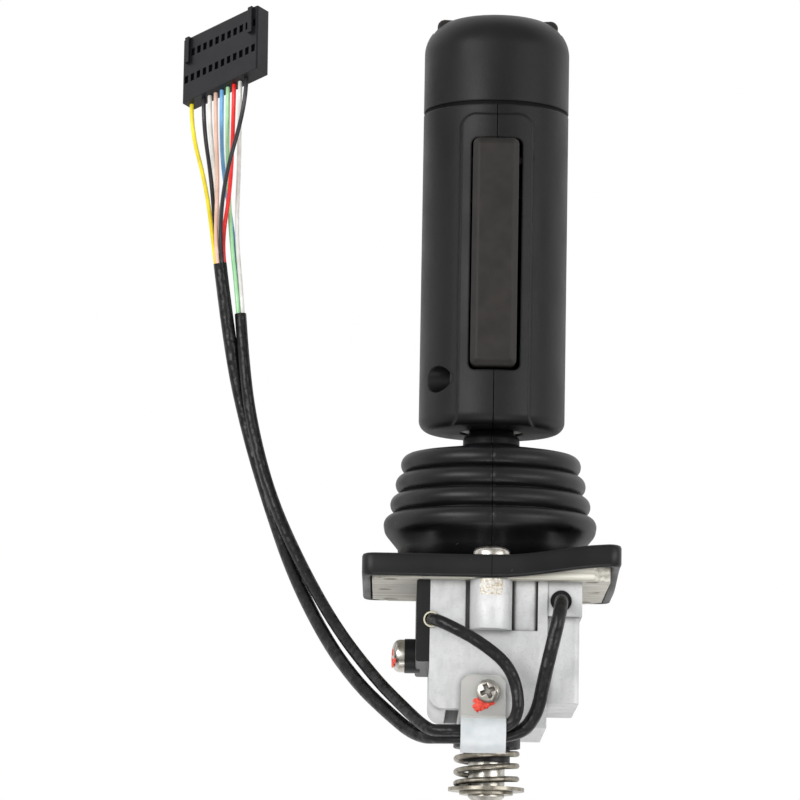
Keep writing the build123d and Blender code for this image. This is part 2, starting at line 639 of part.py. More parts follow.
def grip_cap():
    """Round cap with the pocket for the thumb rocker and a spigot into the grip."""
    cap = rod_z(GRIP_R, CAP_BOTTOM, CAP_TOP)
    cap = fillet(cap.edges().group_by(Axis.Z)[-1], CAP_ROUND)
    cap += rod_z(LIP_R - RUN, CAP_BOTTOM - SPIGOT_DEPTH + 1, CAP_BOTTOM)
    cap -= rod_z(LIP_R - CAP_WALL, CAP_BOTTOM - SPIGOT_DEPTH + 1, CAP_BOTTOM)
    cap -= rod_z(GRIP_INNER_R - 1, CAP_BOTTOM + CAP_WALL, POCKET_FLOOR - POCKET_FLOOR_T)
    cap -= rod_z(LIP_R - CAP_WALL, CAP_BOTTOM, CAP_BOTTOM + CAP_WALL)
    cap -= block((-POCKET_HALF_X, POCKET_HALF_X), (-POCKET_HALF_Y, POCKET_HALF_Y),
                 (POCKET_FLOOR, CAP_TOP))
    cap -= rod_y(ROCKER_PIN_R, -ROCKER_PIN_HALF, ROCKER_PIN_HALF, 0, ROCKER_PIN_Z)
    for x in (-ROCKER_SWITCH_X, ROCKER_SWITCH_X):
        cap -= rod_z(ROCKER_STEM_R + FIT_LOOSE, POCKET_FLOOR - POCKET_FLOOR_T, POCKET_FLOOR, x)
    return cap


def rocker():
    """Dished thumb rocker that tips to the left and right."""
    end = ROCKER_HALF_X
    hub = ROCKER_HUB_HALF_X
    with BuildSketch(Plane.XZ) as outline:
        with BuildLine():
            Polyline((-end, ROCKER_END_BOTTOM), (-hub, ROCKER_BOTTOM), (hub, ROCKER_BOTTOM),
                     (end, ROCKER_END_BOTTOM))
            Line((end, ROCKER_END_BOTTOM), (end, ROCKER_TOP))
            ThreePointArc((end, ROCKER_TOP), (0, ROCKER_DISH), (-end, ROCKER_TOP))
            Line((-end, ROCKER_TOP), (-end, ROCKER_END_BOTTOM))
        make_face()
    body = extrude(outline.sketch, ROCKER_HALF_Y, both=True)
    body = fillet(body.edges().filter_by(Axis.Y).group_by(Axis.Z)[-1], ROCKER_ROUND)
    return body - rod_y(ROCKER_PIN_R + RUN, -GRIP_R, GRIP_R, 0, ROCKER_PIN_Z)


def rocker_pin():
    """Steel pin that the rocker turns on."""
    return rod_y(ROCKER_PIN_R - SEAT, -ROCKER_PIN_HALF + GAP, ROCKER_PIN_HALF - GAP, 0, ROCKER_PIN_Z)


def rocker_switches():
    """One push switch under each end of the rocker."""
    top = POCKET_FLOOR - POCKET_FLOOR_T
    switches = []
    for x in (-ROCKER_SWITCH_X, ROCKER_SWITCH_X):
        case = block((x - ROCKER_SWITCH_W / 2, x + ROCKER_SWITCH_W / 2),
                     (-ROCKER_SWITCH_D / 2, ROCKER_SWITCH_D / 2), (ROCKER_SWITCH_BOTTOM, top))
        switches.append(case + rod_z(ROCKER_STEM_R, top, ROCKER_STEM_TOP, x))
    return Compound(switches)


def plunger_stirrup():
    """Frame round the hub: cross bars above the wings, straps, and a head on the rod."""
    stirrup = None
    for low, high in ((-STRAP_OUT, -STRAP_IN), (STRAP_IN, STRAP_OUT)):
        strap = block((low, high), (-STRAP_W, STRAP_W), (HEAD_BOTTOM, CROSS_TOP))
        stirrup = strap if stirrup is None else stirrup + strap
    cross = block((-STRAP_OUT, STRAP_OUT), (-CROSS_Y, CROSS_Y), (CROSS_BOTTOM, CROSS_TOP))
    cross -= block((-CROSS_SLOT_X, CROSS_SLOT_X), (-CROSS_SLOT_Y, CROSS_SLOT_Y),
                   (CROSS_BOTTOM, CROSS_TOP))
    head = block((-STRAP_OUT, STRAP_OUT), (-STRAP_W, STRAP_W), (HEAD_BOTTOM, HEAD_TOP))
    stirrup += cross + head
    slot = AXLE_R + GAP
    for x in ((-STRAP_OUT, -STRAP_IN), (STRAP_IN, STRAP_OUT)):
        stirrup -= block(x, (-slot, slot), (PIVOT_Z - slot - LIFT, PIVOT_Z + slot))
    return stirrup


def plunger_rod():
    """Rod that hangs from the stirrup, with a groove for its retaining clip."""
    rod = rod_z(ROD_R, ROD_END, HEAD_BOTTOM)
    rod = chamfer(rod.edges().group_by(Axis.Z)[0], ROD_CHAMFER)
    low = WASHER_TOP - WASHER_T - CLIP_RING_T
    ring = rod_z(ROD_R, low, low + CLIP_RING_T) - rod_z(GROOVE_R, low, low + CLIP_RING_T)
    return rod - ring


def plunger_bush():
    """Flanged sliding bush in the housing floor."""
    flange = rod_z(BUSH_FLANGE_R, -BODY_H - BUSH_FLANGE_T, -BODY_H)
    flange = fillet(flange.edges().group_by(Axis.Z)[0], 0.4)
    hub = rod_z(BUSH_HUB_R - SEAT, BUSH_HUB_END, -BODY_H + FLOOR_T)
    return flange + hub - rod_z(ROD_R + RUN, BUSH_HUB_END, -BODY_H + FLOOR_T)


def plunger_washer():
    """Washer that the spring pushes on."""
    washer = rod_z(WASHER_R, WASHER_TOP - WASHER_T, WASHER_TOP)
    return washer - rod_z(ROD_R + SEAT, WASHER_TOP - WASHER_T, WASHER_TOP)


def retaining_clip():
    """Open clip in the rod's groove."""
    top = WASHER_TOP - WASHER_T
    ring = rod_z(CLIP_RING_R, top - CLIP_RING_T, top)
    ring -= rod_z(GROOVE_R + SEAT, top - CLIP_RING_T, top)
    return ring - block((-GROOVE_R, GROOVE_R), (0, 2 * GROOVE_R), (top - CLIP_RING_T, top))


def centring_spring():
    """Return spring between the bush flange and the washer."""
    return coil(SPRING_OUTER_R - SPRING_WIRE / 2, SPRING_WIRE, WASHER_TOP,
                -BODY_H - BUSH_FLANGE_T, SPRING_TURNS)


def laid(x, y, z):
    """Point of the upright drawing, moved to the laid-down pose."""
    return (LAID * Pos(x, y, z)).position


def bend_radii(points):
    """Radius for each bend: 0.45 of the shorter run over the tangent of half the turn."""
    radii = []
    for before, here, after in zip(points, points[1:], points[2:]):
        inward = here - before
        outward = after - here
        half_turn = math.radians(inward.get_angle(outward) / 2)
        radii.append(0.45 * min(inward.length, outward.length) / math.tan(half_turn))
    return radii


def cord(name, diameter, points):
    """Round cord through the points, with a tangent arc at each one between the ends."""
    points = [Vector(*point) for point in points]
    radii = bend_radii(points)
    path = FilletPolyline(*points, radius=radii)
    tube = sweep(Plane(origin=path @ 0, z_dir=path % 0) * Circle(diameter / 2), path=path)
    expected = math.pi * diameter ** 2 / 4 * path.length
    print(name, "length", round(path.length, 1), "radii", [round(radius, 1) for radius in radii],
          "volume ratio", round(tube.volume / expected, 4))
    return tube


def connector_frame():
    """Plane of the connector's front face: x across, y from the wire end to the top."""
    across = Vector(*CONNECTOR_ACROSS).normalized()
    down = Vector(*CONNECTOR_DOWN)
    down = (down - across * down.dot(across)).normalized()
    return Plane(origin=CONNECTOR_AT, x_dir=across, z_dir=across.cross(down * -1))


def connector_housing(place):
    """Flat plug with a row of wire ways, two rows of windows and two rails."""
    body = block((-CONNECTOR_W / 2, CONNECTOR_W / 2), (-CONNECTOR_L / 2, CONNECTOR_L / 2),
                 (-CONNECTOR_T, 0))
    body = fillet(body.edges().filter_by(Axis.Y), 0.5)
    for side in (-1, 1):
        edge = side * (CONNECTOR_W / 2 - CONNECTOR_RAIL_W)
        low, high = sorted((edge, edge - side * CONNECTOR_RAIL_W))
        body += block((low, high), (CONNECTOR_L / 2 - 9, CONNECTOR_L / 2), (0, CONNECTOR_RAIL_T))
    for way in range(12):
        x = (way - 5.5) * WIRE_PITCH
        for row in CONNECTOR_ROWS:
            y = row - CONNECTOR_L / 2
            body -= block((x - CONNECTOR_WINDOW / 2, x + CONNECTOR_WINDOW / 2),
                          (y, y + CONNECTOR_WINDOW_L), (-CONNECTOR_WINDOW_DEPTH, 0))
    return place.location * body


def wire_end(place, way, depth):
    """Point below a wire way, at some depth under the connector's lower edge."""
    x = (way - 5.5) * WIRE_PITCH
    return (place.location * Pos(x, -CONNECTOR_L / 2 - depth, -CONNECTOR_T / 2)).position


def sleeve_wires(place, route, ring, wires):
    """Wires from the end face of a sleeve to their ways in the connector."""
    end = Vector(*route[-1])
    along = (end - Vector(*route[-2])).normalized()
    side = along.cross(Vector(0, 0, 1)).normalized()
    upward = side.cross(along)
    cords = {}
    for name, (degrees, way, between) in wires.items():
        turn = math.radians(degrees)
        start = end + side * (ring * math.cos(turn)) + upward * (ring * math.sin(turn)) + along * SEAT
        points = [start, start + along * WIRE_STUB] + between
        points += [wire_end(place, way, WIRE_ARRIVAL), wire_end(place, way, 0)]
        cords[name] = cord(name, WIRE_D, points)
    return cords


def harness():
    """Both cable sleeves, the wires and the connector, in the laid-down pose."""
    place = connector_frame()
    nearer = laid(0, -BUNDLE_DEPTH / 2, BUNDLE_RISE / 2)
    clip_right = CLIP_X + CLIP_W / 2
    clip_out = laid(CLIP_X - CLIP_W / 2 - 5, LOOP_Y, LOOP_Z)
    sensor = [laid(FERRULE_X, -FERRULE_BACK, FERRULE_Z),
              laid(FERRULE_X, -FERRULE_FRONT - 3.6, FERRULE_Z),
              laid(FERRULE_X + 4.2, -FRONT_Y - 8.9, FERRULE_Z - 2),
              laid(FERRULE_X + 14, -FRONT_Y - 9.9, FERRULE_Z - 7),
              laid(6.3, -FRONT_Y - 10, LOOP_Z + 19.1),
              laid(clip_right + 4.15, -FRONT_Y - 9.6, LOOP_Z + 7),
              laid(clip_right + 0.2, LOOP_Y - 1.9, LOOP_Z + 1.1), clip_out + nearer]
    grip = [laid(CABLE_HOLE_X, -SIDE_FRONT + 2, CABLE_HOLE_Z),
            laid(CABLE_HOLE_X, -SIDE_FRONT - 5.4, CABLE_HOLE_Z),
            laid(CABLE_HOLE_X - 0.8, -FRONT_Y - 10.3, CABLE_HOLE_Z - 5.4),
            laid(CABLE_HOLE_X - 3, -FRONT_Y - 10.2, CABLE_HOLE_Z - 14.8),
            laid(clip_right + 10.65, -FRONT_Y - 8, LOOP_Z + 15.1),
            laid(clip_right + 9.05, -FRONT_Y - 5.4, LOOP_Z + 6),
            laid(clip_right + 3.5, LOOP_Y + 1.7, LOOP_Z - 0.6), clip_out - nearer]
    parts = {"sensor_sleeve": cord("sensor_sleeve", LEFT_SLEEVE_D, sensor + list(SENSOR_ROUTE)),
             "grip_sleeve": cord("grip_sleeve", RIGHT_SLEEVE_D, grip + list(GRIP_ROUTE)),
             "connector_housing": connector_housing(place)}
    parts.update(sleeve_wires(place, GRIP_ROUTE, GRIP_WIRE_RING, GRIP_WIRES))
    parts.update(sleeve_wires(place, SENSOR_ROUTE, SENSOR_WIRE_RING, SENSOR_WIRES))
    return parts


def joystick():
    """Every part of the joystick in the upright drawing, by name."""
    return {"gimbal_housing": gimbal_housing(), "bellows_boot": bellows_boot(),
            "flange_screws": flange_screws(), "axle_bushes": axle_bushes(),
            "sensor_cover": sensor_cover(), "end_screw": end_screw(),
            "sensor_board": sensor_board(), "cable_ferrule": cable_ferrule(),
            "cable_grommet": cable_grommet(), "cable_clip": cable_clip(),
            "clip_screw": clip_screw(), "plunger_bush": plunger_bush(),
            "lever_hub": lever_hub(), "pivot_axle": pivot_axle(), "magnet": magnet(),
            "lever_shaft": lever_shaft(), "jam_nut": jam_nut(),
            "grip_shell_left": grip_shell(-1), "grip_shell_right": grip_shell(1),
            "grip_screws": grip_screws(), "trigger_bar": trigger_bar(),
            "trigger_pin": trigger_pin(), "switch_board": switch_board(),
            "trigger_switch": trigger_switch(), "trigger_spring": trigger_spring(),
            "cap_gasket": cap_gasket(), "grip_cap": grip_cap(), "rocker": rocker(),
            "rocker_pin": rocker_pin(), "rocker_switches": rocker_switches(),
            "plunger_stirrup": plunger_stirrup(), "plunger_rod": plunger_rod(),
            "plunger_washer": plunger_washer(), "retaining_clip": retaining_clip(),
            "centring_spring": centring_spring()}


stick = {name: LAID * shape for name, shape in joystick().items()}
box = Compound(list(stick.values())).bounding_box()
CENTRED = Pos(-(box.min.X + box.max.X) / 2, -(box.min.Y + box.max.Y) / 2, -box.min.Z)
stick.update(harness())
for name, shape in stick.items():
    export_step(CENTRED * shape, f"parts/{name}.step")
print("lean", round(LEAN, 3), "shift", CENTRED.position, "pivot", (CENTRED * LAID * PIVOT_LEVEL).position)
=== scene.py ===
import math

import bmesh
import bpy
from mathutils import Matrix, Vector


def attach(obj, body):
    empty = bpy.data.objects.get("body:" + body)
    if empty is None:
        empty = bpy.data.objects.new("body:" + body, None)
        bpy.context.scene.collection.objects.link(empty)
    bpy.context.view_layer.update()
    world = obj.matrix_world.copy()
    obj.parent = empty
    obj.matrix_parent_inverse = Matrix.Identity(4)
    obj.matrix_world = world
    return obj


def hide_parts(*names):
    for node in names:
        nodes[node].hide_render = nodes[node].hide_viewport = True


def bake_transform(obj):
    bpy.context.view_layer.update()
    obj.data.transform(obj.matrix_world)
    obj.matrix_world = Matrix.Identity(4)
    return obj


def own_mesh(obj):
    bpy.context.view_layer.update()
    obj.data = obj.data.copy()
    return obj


# Looks of an industrial joystick that lies on its back on a white table.
# Sizes are in millimetres in the upright drawing (z up the lever, trigger side -y),
# and every piece is moved to the laid-down pose, in metres, when its mesh is made.

MM = 0.001
FLANGE_HALF = 38.0
FLANGE_TOP = 7.0
GRIP_R = 22.0
CAP_SHOULDER = 163.5
LEAN = math.atan2(FLANGE_HALF - GRIP_R, CAP_SHOULDER - FLANGE_TOP)
ORIGIN = Vector((0.0, -0.0555183, 0.0385683))
LAID = Matrix.Translation(ORIGIN) @ Matrix.Rotation(-math.pi / 2 - LEAN, 4, "X")

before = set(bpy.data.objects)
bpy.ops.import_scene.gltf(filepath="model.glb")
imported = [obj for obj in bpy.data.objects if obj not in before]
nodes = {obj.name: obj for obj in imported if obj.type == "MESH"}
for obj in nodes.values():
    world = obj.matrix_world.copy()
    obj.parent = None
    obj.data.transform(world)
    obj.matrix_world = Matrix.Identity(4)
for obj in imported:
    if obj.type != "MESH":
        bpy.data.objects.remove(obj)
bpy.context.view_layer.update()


def laid(x, y, z):
    """Point of the upright drawing in mm, as a point of the row frame in metres."""
    return LAID @ Vector((x * MM, y * MM, z * MM))


def table_point(point):
    """Cord point in mm from the flange centre, as a point of the row frame in metres."""
    return ORIGIN + Vector(point) * MM


# Camera

FOCAL_PX = 4700.0
PHOTO_PX = 800.0
SENSOR = 36.0
CAMERA_ELEVATION = math.radians(87.7)
CAMERA_ROLL = math.radians(1.02)
CAMERA_PLACE = ORIGIN + Vector((-0.02773, 0.00018, 1.41112))


def add_camera():
    """Camera of the photograph: nearly straight above, a little from the foot end."""
    data = bpy.data.cameras.new("camera")
    data.sensor_width = SENSOR
    data.lens = FOCAL_PX / PHOTO_PX * SENSOR
    data.clip_end = 20.0
    camera = bpy.data.objects.new("camera", data)
    bpy.context.scene.collection.objects.link(camera)
    forward = Vector((0, math.cos(CAMERA_ELEVATION), -math.sin(CAMERA_ELEVATION)))
    level = Vector((1, 0, 0))
    upward = level.cross(forward)
    right = level * math.cos(CAMERA_ROLL) + upward * math.sin(CAMERA_ROLL)
    top = upward * math.cos(CAMERA_ROLL) - level * math.sin(CAMERA_ROLL)
    turn = Matrix((right, top, -forward)).transposed().to_4x4()
    camera.matrix_world = Matrix.Translation(CAMERA_PLACE) @ turn
    bpy.context.scene.camera = camera


add_camera()


# Node helpers

class Nodes:
    """Small wrapper that adds and joins shader nodes of one material."""

    def __init__(self, name):
        self.material = bpy.data.materials.new(name)
        self.material.use_nodes = True
        self.tree = self.material.node_tree
        self.shader = self.tree.nodes["Principled BSDF"]
        self.place = self.add("ShaderNodeTexCoord").outputs["Object"]

    def add(self, kind, **values):
        node = self.tree.nodes.new(kind)
        for key, value in values.items():
            if hasattr(node, key):
                setattr(node, key, value)
            else:
                node.inputs[key.replace("_", " ")].default_value = value
        return node

    def join(self, output, target):
        self.tree.links.new(output, target)

    def noise(self, scale, detail=4.0, stretch=None):
        """Noise in object space; scale is in cycles per metre."""
        node = self.add("ShaderNodeTexNoise", Scale=scale, Detail=detail)
        source = self.place
        if stretch:
            mapping = self.add("ShaderNodeMapping")
            mapping.inputs["Scale"].default_value = stretch
            self.join(source, mapping.inputs["Vector"])
            source = mapping.outputs["Vector"]
        self.join(source, node.inputs["Vector"])
        return node.outputs["Fac"]

    def ramp(self, source, low, high, dark, light):
        """Two-colour ramp over a value between low and high."""
        node = self.add("ShaderNodeValToRGB")
        first, last = node.color_ramp.elements
        first.position, last.position = low, high
        first.color, last.color = (*dark, 1.0), (*light, 1.0)
        self.join(source, node.inputs["Fac"])
        return node.outputs["Color"]

    def grey(self, source, low, high, dark, light):
        return self.ramp(source, low, high, (dark,) * 3, (light,) * 3)

    def mix(self, factor, first, second):
        """Colour mix; first and second are sockets or colours."""
        node = self.add("ShaderNodeMix", data_type="RGBA")
        self.join(factor, node.inputs["Factor"])
        sockets = [s for s in node.inputs if s.type == "RGBA"]
        for value, socket in zip((first, second), sockets):
            if isinstance(value, tuple):
                socket.default_value = (*value, 1.0)
            else:
                self.join(value, socket)
        return [s for s in node.outputs if s.type == "RGBA"][0]

    def maths(self, operation, first, second=None):
        node = self.add("ShaderNodeMath", operation=operation)
        for value, socket in zip((first, second), node.inputs):
            if value is None:
                continue
            if isinstance(value, (int, float)):
                socket.default_value = value
            else:
                self.join(value, socket)
        return node.outputs[0]

    def axis(self, index):
        """One coordinate of the object-space position."""
        node = self.add("ShaderNodeSeparateXYZ")
        self.join(self.place, node.inputs[0])
        return node.outputs[index]

    def along(self, direction, start):
        """Distance of the object-space position along a direction, counted from start."""
        node = self.add("ShaderNodeVectorMath", operation="DOT_PRODUCT")
        self.join(self.place, node.inputs[0])
        node.inputs[1].default_value = direction
        return self.maths("SUBTRACT", node.outputs["Value"], start)

    def bumps(self, layers, rounding=0.0):
        """Stacked bump maps: (height, strength, distance) each, over rounded edges."""
        normal = None
        if rounding:
            normal = self.add("ShaderNodeBevel", samples=4, Radius=rounding).outputs["Normal"]
        for height, strength, distance in layers:
            node = self.add("ShaderNodeBump", Strength=strength, Distance=distance)
            self.join(height, node.inputs["Height"])
            if normal:
                self.join(normal, node.inputs["Normal"])
            normal = node.outputs["Normal"]
        self.join(normal, self.shader.inputs["Normal"])

    def seam(self, half_width, colour, sheen):
        """Dark parting line in the middle plane, without sheen: the colour and the line's mask."""
        line = self.maths("LESS_THAN", self.maths("ABSOLUTE", self.axis(0)), half_width)
        level = self.maths("MULTIPLY", self.maths("SUBTRACT", 1.0, line), sheen)
        self.join(level, self.shader.inputs["Specular IOR Level"])
        return self.mix(line, colour, (0.0006, 0.0006, 0.0006)), line

    def finish(self, colour, roughness, metallic=0.0, **more):
        for value, key in ((colour, "Base Color"), (roughness, "Roughness")):
            socket = self.shader.inputs[key]
            if isinstance(value, tuple):
                socket.default_value = (*value, 1.0)
            elif isinstance(value, (int, float)):
                socket.default_value = value
            else:
                self.join(value, socket)
        self.shader.inputs["Metallic"].default_value = metallic
        for key, value in more.items():
            self.shader.inputs[key.replace("_", " ")].default_value = value
        return self.material


# Rough spot where the casting's gate was broken off, and levels up the lever, in metres
GATE_LOW = -0.0048
GATE_HALF = 0.0034
GATE_FRONT = 0.033
PLATE_LOW = -0.00002
CLIP_TAB_LOW = -0.0412

GRIP_SHEEN = 0.22
RUBBER_SHEEN = 0.26
PLASTIC_SHEEN = 0.24


def grip_plastic(name, with_seam):
    """Black spark-textured plastic; the grip has a fine dark seam where its halves meet."""
    n = Nodes(name)
    cloud = n.noise(60, 3)
    colour = n.grey(cloud, 0.3, 0.7, 0.0032, 0.0056)
    layers = [(n.noise(2600, 2), 0.45, 0.00012), (n.noise(420, 3), 0.12, 0.0003)]
    if with_seam:
        colour, line = n.seam(0.00012, colour, GRIP_SHEEN)
        layers.append((n.maths("MULTIPLY", line, -1.0), 1.0, 0.0004))
    n.bumps(layers, 0.0008)
    return n.finish(colour, n.grey(cloud, 0.3, 0.7, 0.38, 0.50),
                    Specular_IOR_Level=GRIP_SHEEN)


def trigger_plastic():
    """Smoother black plastic of the trigger and rocker, a little worn."""
    n = Nodes("trigger_plastic")
    wear = n.noise(180, 5)
    colour = n.ramp(wear, 0.35, 0.75, (0.0125, 0.0109, 0.0098), (0.0195, 0.0164, 0.0142))
    n.bumps([(n.noise(3200, 2), 0.3, 0.0001)], 0.0010)
    return n.finish(colour, n.grey(wear, 0.3, 0.7, 0.42, 0.54), Specular_IOR_Level=0.26)


def rubber():
    """Black moulded rubber with mould bloom and a few specks of dust."""
    n = Nodes("boot_rubber")
    cloud = n.noise(45, 4)
    dust = n.noise(900, 2)
    colour = n.ramp(cloud, 0.3, 0.72, (0.0030, 0.0030, 0.0036), (0.0060, 0.0060, 0.0068))
    colour = n.mix(n.grey(dust, 0.74, 0.78, 0.0, 0.4), colour, (0.10, 0.10, 0.10))
    colour, _ = n.seam(0.00008, colour, RUBBER_SHEEN)
    n.bumps([(n.noise(1500, 3), 0.3, 0.00012), (cloud, 0.2, 0.0008)])
    return n.finish(colour, n.grey(cloud, 0.3, 0.7, 0.33, 0.48),
                    Specular_IOR_Level=RUBBER_SHEEN)


def cast_aluminium():
    """Die-cast aluminium: pale skin, grime in patches, painted shade in the corners, brushed flange plate.
    """
    n = Nodes("cast_aluminium")
    cloud = n.noise(70, 6)
    grime = n.noise(260, 5)
    skin = n.ramp(cloud, 0.3, 0.72, (0.46, 0.465, 0.468), (0.59, 0.594, 0.59))
    skin = n.mix(n.grey(grime, 0.52, 0.8, 0.0, 0.4), skin, (0.34, 0.342, 0.34))
    skin = n.mix(n.grey(n.noise(1400, 4), 0.56, 0.78, 0.0, 0.4), skin, (0.30, 0.30, 0.295))
    skin = n.mix(n.grey(n.noise(420, 5, (1.0, 0.25, 1.0)), 0.5, 0.72, 0.0, 0.4), skin, (0.36, 0.362, 0.36))
    scratch = n.noise(1500, 3, (0.8, 1.0, 0.6))
    skin = n.mix(n.grey(scratch, 0.66, 0.74, 0.0, 0.3), skin, (0.18, 0.18, 0.18))
    # Painted shade: ambient occlusion darkens the casting's corners and hollows towards a dark grey.
    corner = n.add("ShaderNodeAmbientOcclusion", samples=6, Distance=0.0022)
    skin = n.mix(n.grey(corner.outputs["AO"], 0.35, 0.95, 0.75, 0.0), skin, (0.10, 0.10, 0.095))
    upward = LAID.to_3x3() @ Vector((0, 0, 1))
    level = n.along(upward, ORIGIN.dot(upward))
    gate = n.maths("MULTIPLY", n.maths("GREATER_THAN", level, GATE_LOW),
                   n.maths("LESS_THAN", n.maths("ABSOLUTE", n.axis(0)), GATE_HALF))
    frontward = LAID.to_3x3() @ Vector((0, -1, 0))
    forward = n.along(frontward, ORIGIN.dot(frontward))
    gate = n.maths("MULTIPLY", gate, n.maths("GREATER_THAN", forward, GATE_FRONT))
    raw = n.ramp(n.noise(1500, 5), 0.4, 0.6, (0.36, 0.30, 0.22), (0.62, 0.60, 0.54))
    skin = n.mix(n.maths("MULTIPLY", gate, n.grey(n.noise(500, 3), 0.35, 0.5, 0.0, 1.0)), skin, raw)
    lines = n.noise(900, 3, (0.03, 1.0, 1.0))
    brushed = n.ramp(lines, 0.3, 0.7, (0.30, 0.285, 0.24), (0.66, 0.64, 0.57))
    plate = n.maths("GREATER_THAN", level, PLATE_LOW)
    colour = n.mix(plate, skin, brushed)
    n.bumps([(n.noise(1300, 4), 0.45, 0.00015), (cloud, 0.3, 0.0007), (grime, 0.2, 0.0003),
             (lines, 0.12, 0.0001)], 0.0006)
    return n.finish(colour, n.grey(grime, 0.3, 0.8, 0.46, 0.66), 0.2)


def steel(name, dark, light, rough, scale=500.0, metallic=1.0):
    """Plated or machined steel with fine turning marks and painted shade in its hollows."""
    n = Nodes(name)
    marks = n.noise(scale, 5)
    n.bumps([(n.noise(1800, 3), 0.12, 0.0001)], 0.0002)
    # Painted shade: ambient occlusion darkens recesses such as a screw head's cross and the gaps between
    # coils.
    painted_hollow_shade = n.add("ShaderNodeAmbientOcclusion", samples=6, Distance=0.0014)
    bright = n.ramp(marks, 0.3, 0.75, dark, light)
    colour = n.mix(n.grey(painted_hollow_shade.outputs["AO"], 0.25, 0.8, 0.85, 0.0), bright, (0.03, 0.022, 0.015))
    return n.finish(colour, n.grey(marks, 0.3, 0.8, rough, rough + 0.14), metallic)


def plastic(name, dark, light, rough, grain=0.15, **more):
    """Plain moulded plastic with a slight unevenness."""
    n = Nodes(name)
    cloud = n.noise(220, 4)
    n.bumps([(n.noise(1700, 3), grain, 0.0001)], 0.0002)
    return n.finish(n.ramp(cloud, 0.3, 0.7, dark, light), rough, **more)


def sleeve_plastic():
    """Black cable sleeve with faint scuffs along it."""
    n = Nodes("sleeve")
    scuff = n.noise(520, 5)
    colour = n.grey(scuff, 0.4, 0.8, 0.0032, 0.0075)
    n.bumps([(scuff, 0.3, 0.0003), (n.noise(170, 2), 0.7, 0.0016)])
    return n.finish(colour, n.grey(scuff, 0.3, 0.7, 0.28, 0.44), Specular_IOR_Level=0.28)


def clip_nylon():
    """Milky nylon: the flat tab lets the casting shine through, the loop is denser."""
    n = Nodes("clip_nylon")
    cloud = n.noise(240, 4)
    upward = LAID.to_3x3() @ Vector((0, 0, 1))
    level = n.along(upward, ORIGIN.dot(upward))
    tab = n.maths("GREATER_THAN", level, CLIP_TAB_LOW)
    colour = n.mix(tab, n.ramp(cloud, 0.3, 0.7, (0.46, 0.49, 0.505), (0.56, 0.585, 0.595)),
                   (0.86, 0.85, 0.81))
    alpha = n.maths("SUBTRACT", 0.95, n.maths("MULTIPLY", tab, 0.6))
    n.join(alpha, n.shader.inputs["Alpha"])
    n.bumps([(n.noise(900, 3), 0.15, 0.0001)], 0.0003)
    return n.finish(colour, n.grey(cloud, 0.3, 0.7, 0.3, 0.42), Subsurface_Weight=0.1,
                    Subsurface_Scale=0.002)


def paint():
    """Red locking paint, thick and blotchy."""
    n = Nodes("lock_paint")
    blot = n.noise(1500, 4)
    n.bumps([(blot, 0.8, 0.0005)])
    return n.finish(n.ramp(blot, 0.35, 0.6, (0.55, 0.02, 0.01), (0.85, 0.08, 0.04)), 0.4)


GRIP = grip_plastic("grip_plastic", True)
CAP = grip_plastic("cap_plastic", False)
TRIGGER = trigger_plastic()
RUBBER = rubber()
CASTING = cast_aluminium()
PAINT = paint()
SLEEVE = sleeve_plastic()
SCREW = steel("screw_steel", (0.34, 0.32, 0.28), (0.68, 0.65, 0.60), 0.26)
SPRING = steel("spring_steel", (0.13, 0.115, 0.09), (0.40, 0.37, 0.31), 0.3)
MACHINED = steel("machined_steel", (0.26, 0.245, 0.215), (0.56, 0.54, 0.49), 0.24, 300)
# Painted shade: steel darkened nearly to black so the grip screws show the shade of their recesses; the
# trigger and rocker pins share it.
SHADE_DARKENED_STEEL = steel("shade_darkened_steel", (0.012, 0.012, 0.012), (0.03, 0.03, 0.03), 0.5, metallic=0.4)
BRONZE = steel("bronze", (0.30, 0.2, 0.11), (0.5, 0.36, 0.22), 0.35)
COVER = plastic("cover_plastic", (0.0045, 0.0045, 0.005), (0.008, 0.008, 0.0085), 0.4,
                Specular_IOR_Level=PLASTIC_SHEEN)
CONNECTOR = plastic("connector_plastic", (0.0045, 0.0045, 0.006), (0.008, 0.008, 0.0105), 0.4,
                    Specular_IOR_Level=PLASTIC_SHEEN)
BUSH = plastic("bush_plastic", (0.005, 0.005, 0.0055), (0.009, 0.009, 0.0095), 0.4,
               Specular_IOR_Level=PLASTIC_SHEEN)
GASKET = plastic("gasket_rubber", (0.001, 0.001, 0.001), (0.002, 0.002, 0.002), 0.6,
                 Specular_IOR_Level=0.1)
RING = plastic("ring_plastic", (0.52, 0.49, 0.36), (0.68, 0.65, 0.52), 0.4)
BOARD = plastic("circuit_board", (0.01, 0.11, 0.045), (0.02, 0.17, 0.07), 0.35)
SWITCH = plastic("switch_plastic", (0.02, 0.02, 0.022), (0.04, 0.04, 0.045), 0.4)
NYLON = clip_nylon()

WIRE_COLOURS = {
    "wire_yellow": ((0.62, 0.50, 0.01), (0.78, 0.66, 0.02)),
    "wire_black": ((0.010, 0.009, 0.012), (0.018, 0.016, 0.020)),
    "wire_white": ((0.55, 0.54, 0.50), (0.72, 0.71, 0.68)),
    "wire_pink": ((0.60, 0.38, 0.29), (0.70, 0.47, 0.37)),
    "wire_red": ((0.66, 0.012, 0.010), (0.82, 0.02, 0.016)),
    "wire_green": ((0.26, 0.55, 0.27), (0.38, 0.68, 0.38)),
    "wire_blue": ((0.10, 0.30, 0.58), (0.20, 0.44, 0.72)),
}
WIRES = {name: plastic(name, dark, light, 0.36) for name, (dark, light) in WIRE_COLOURS.items()}

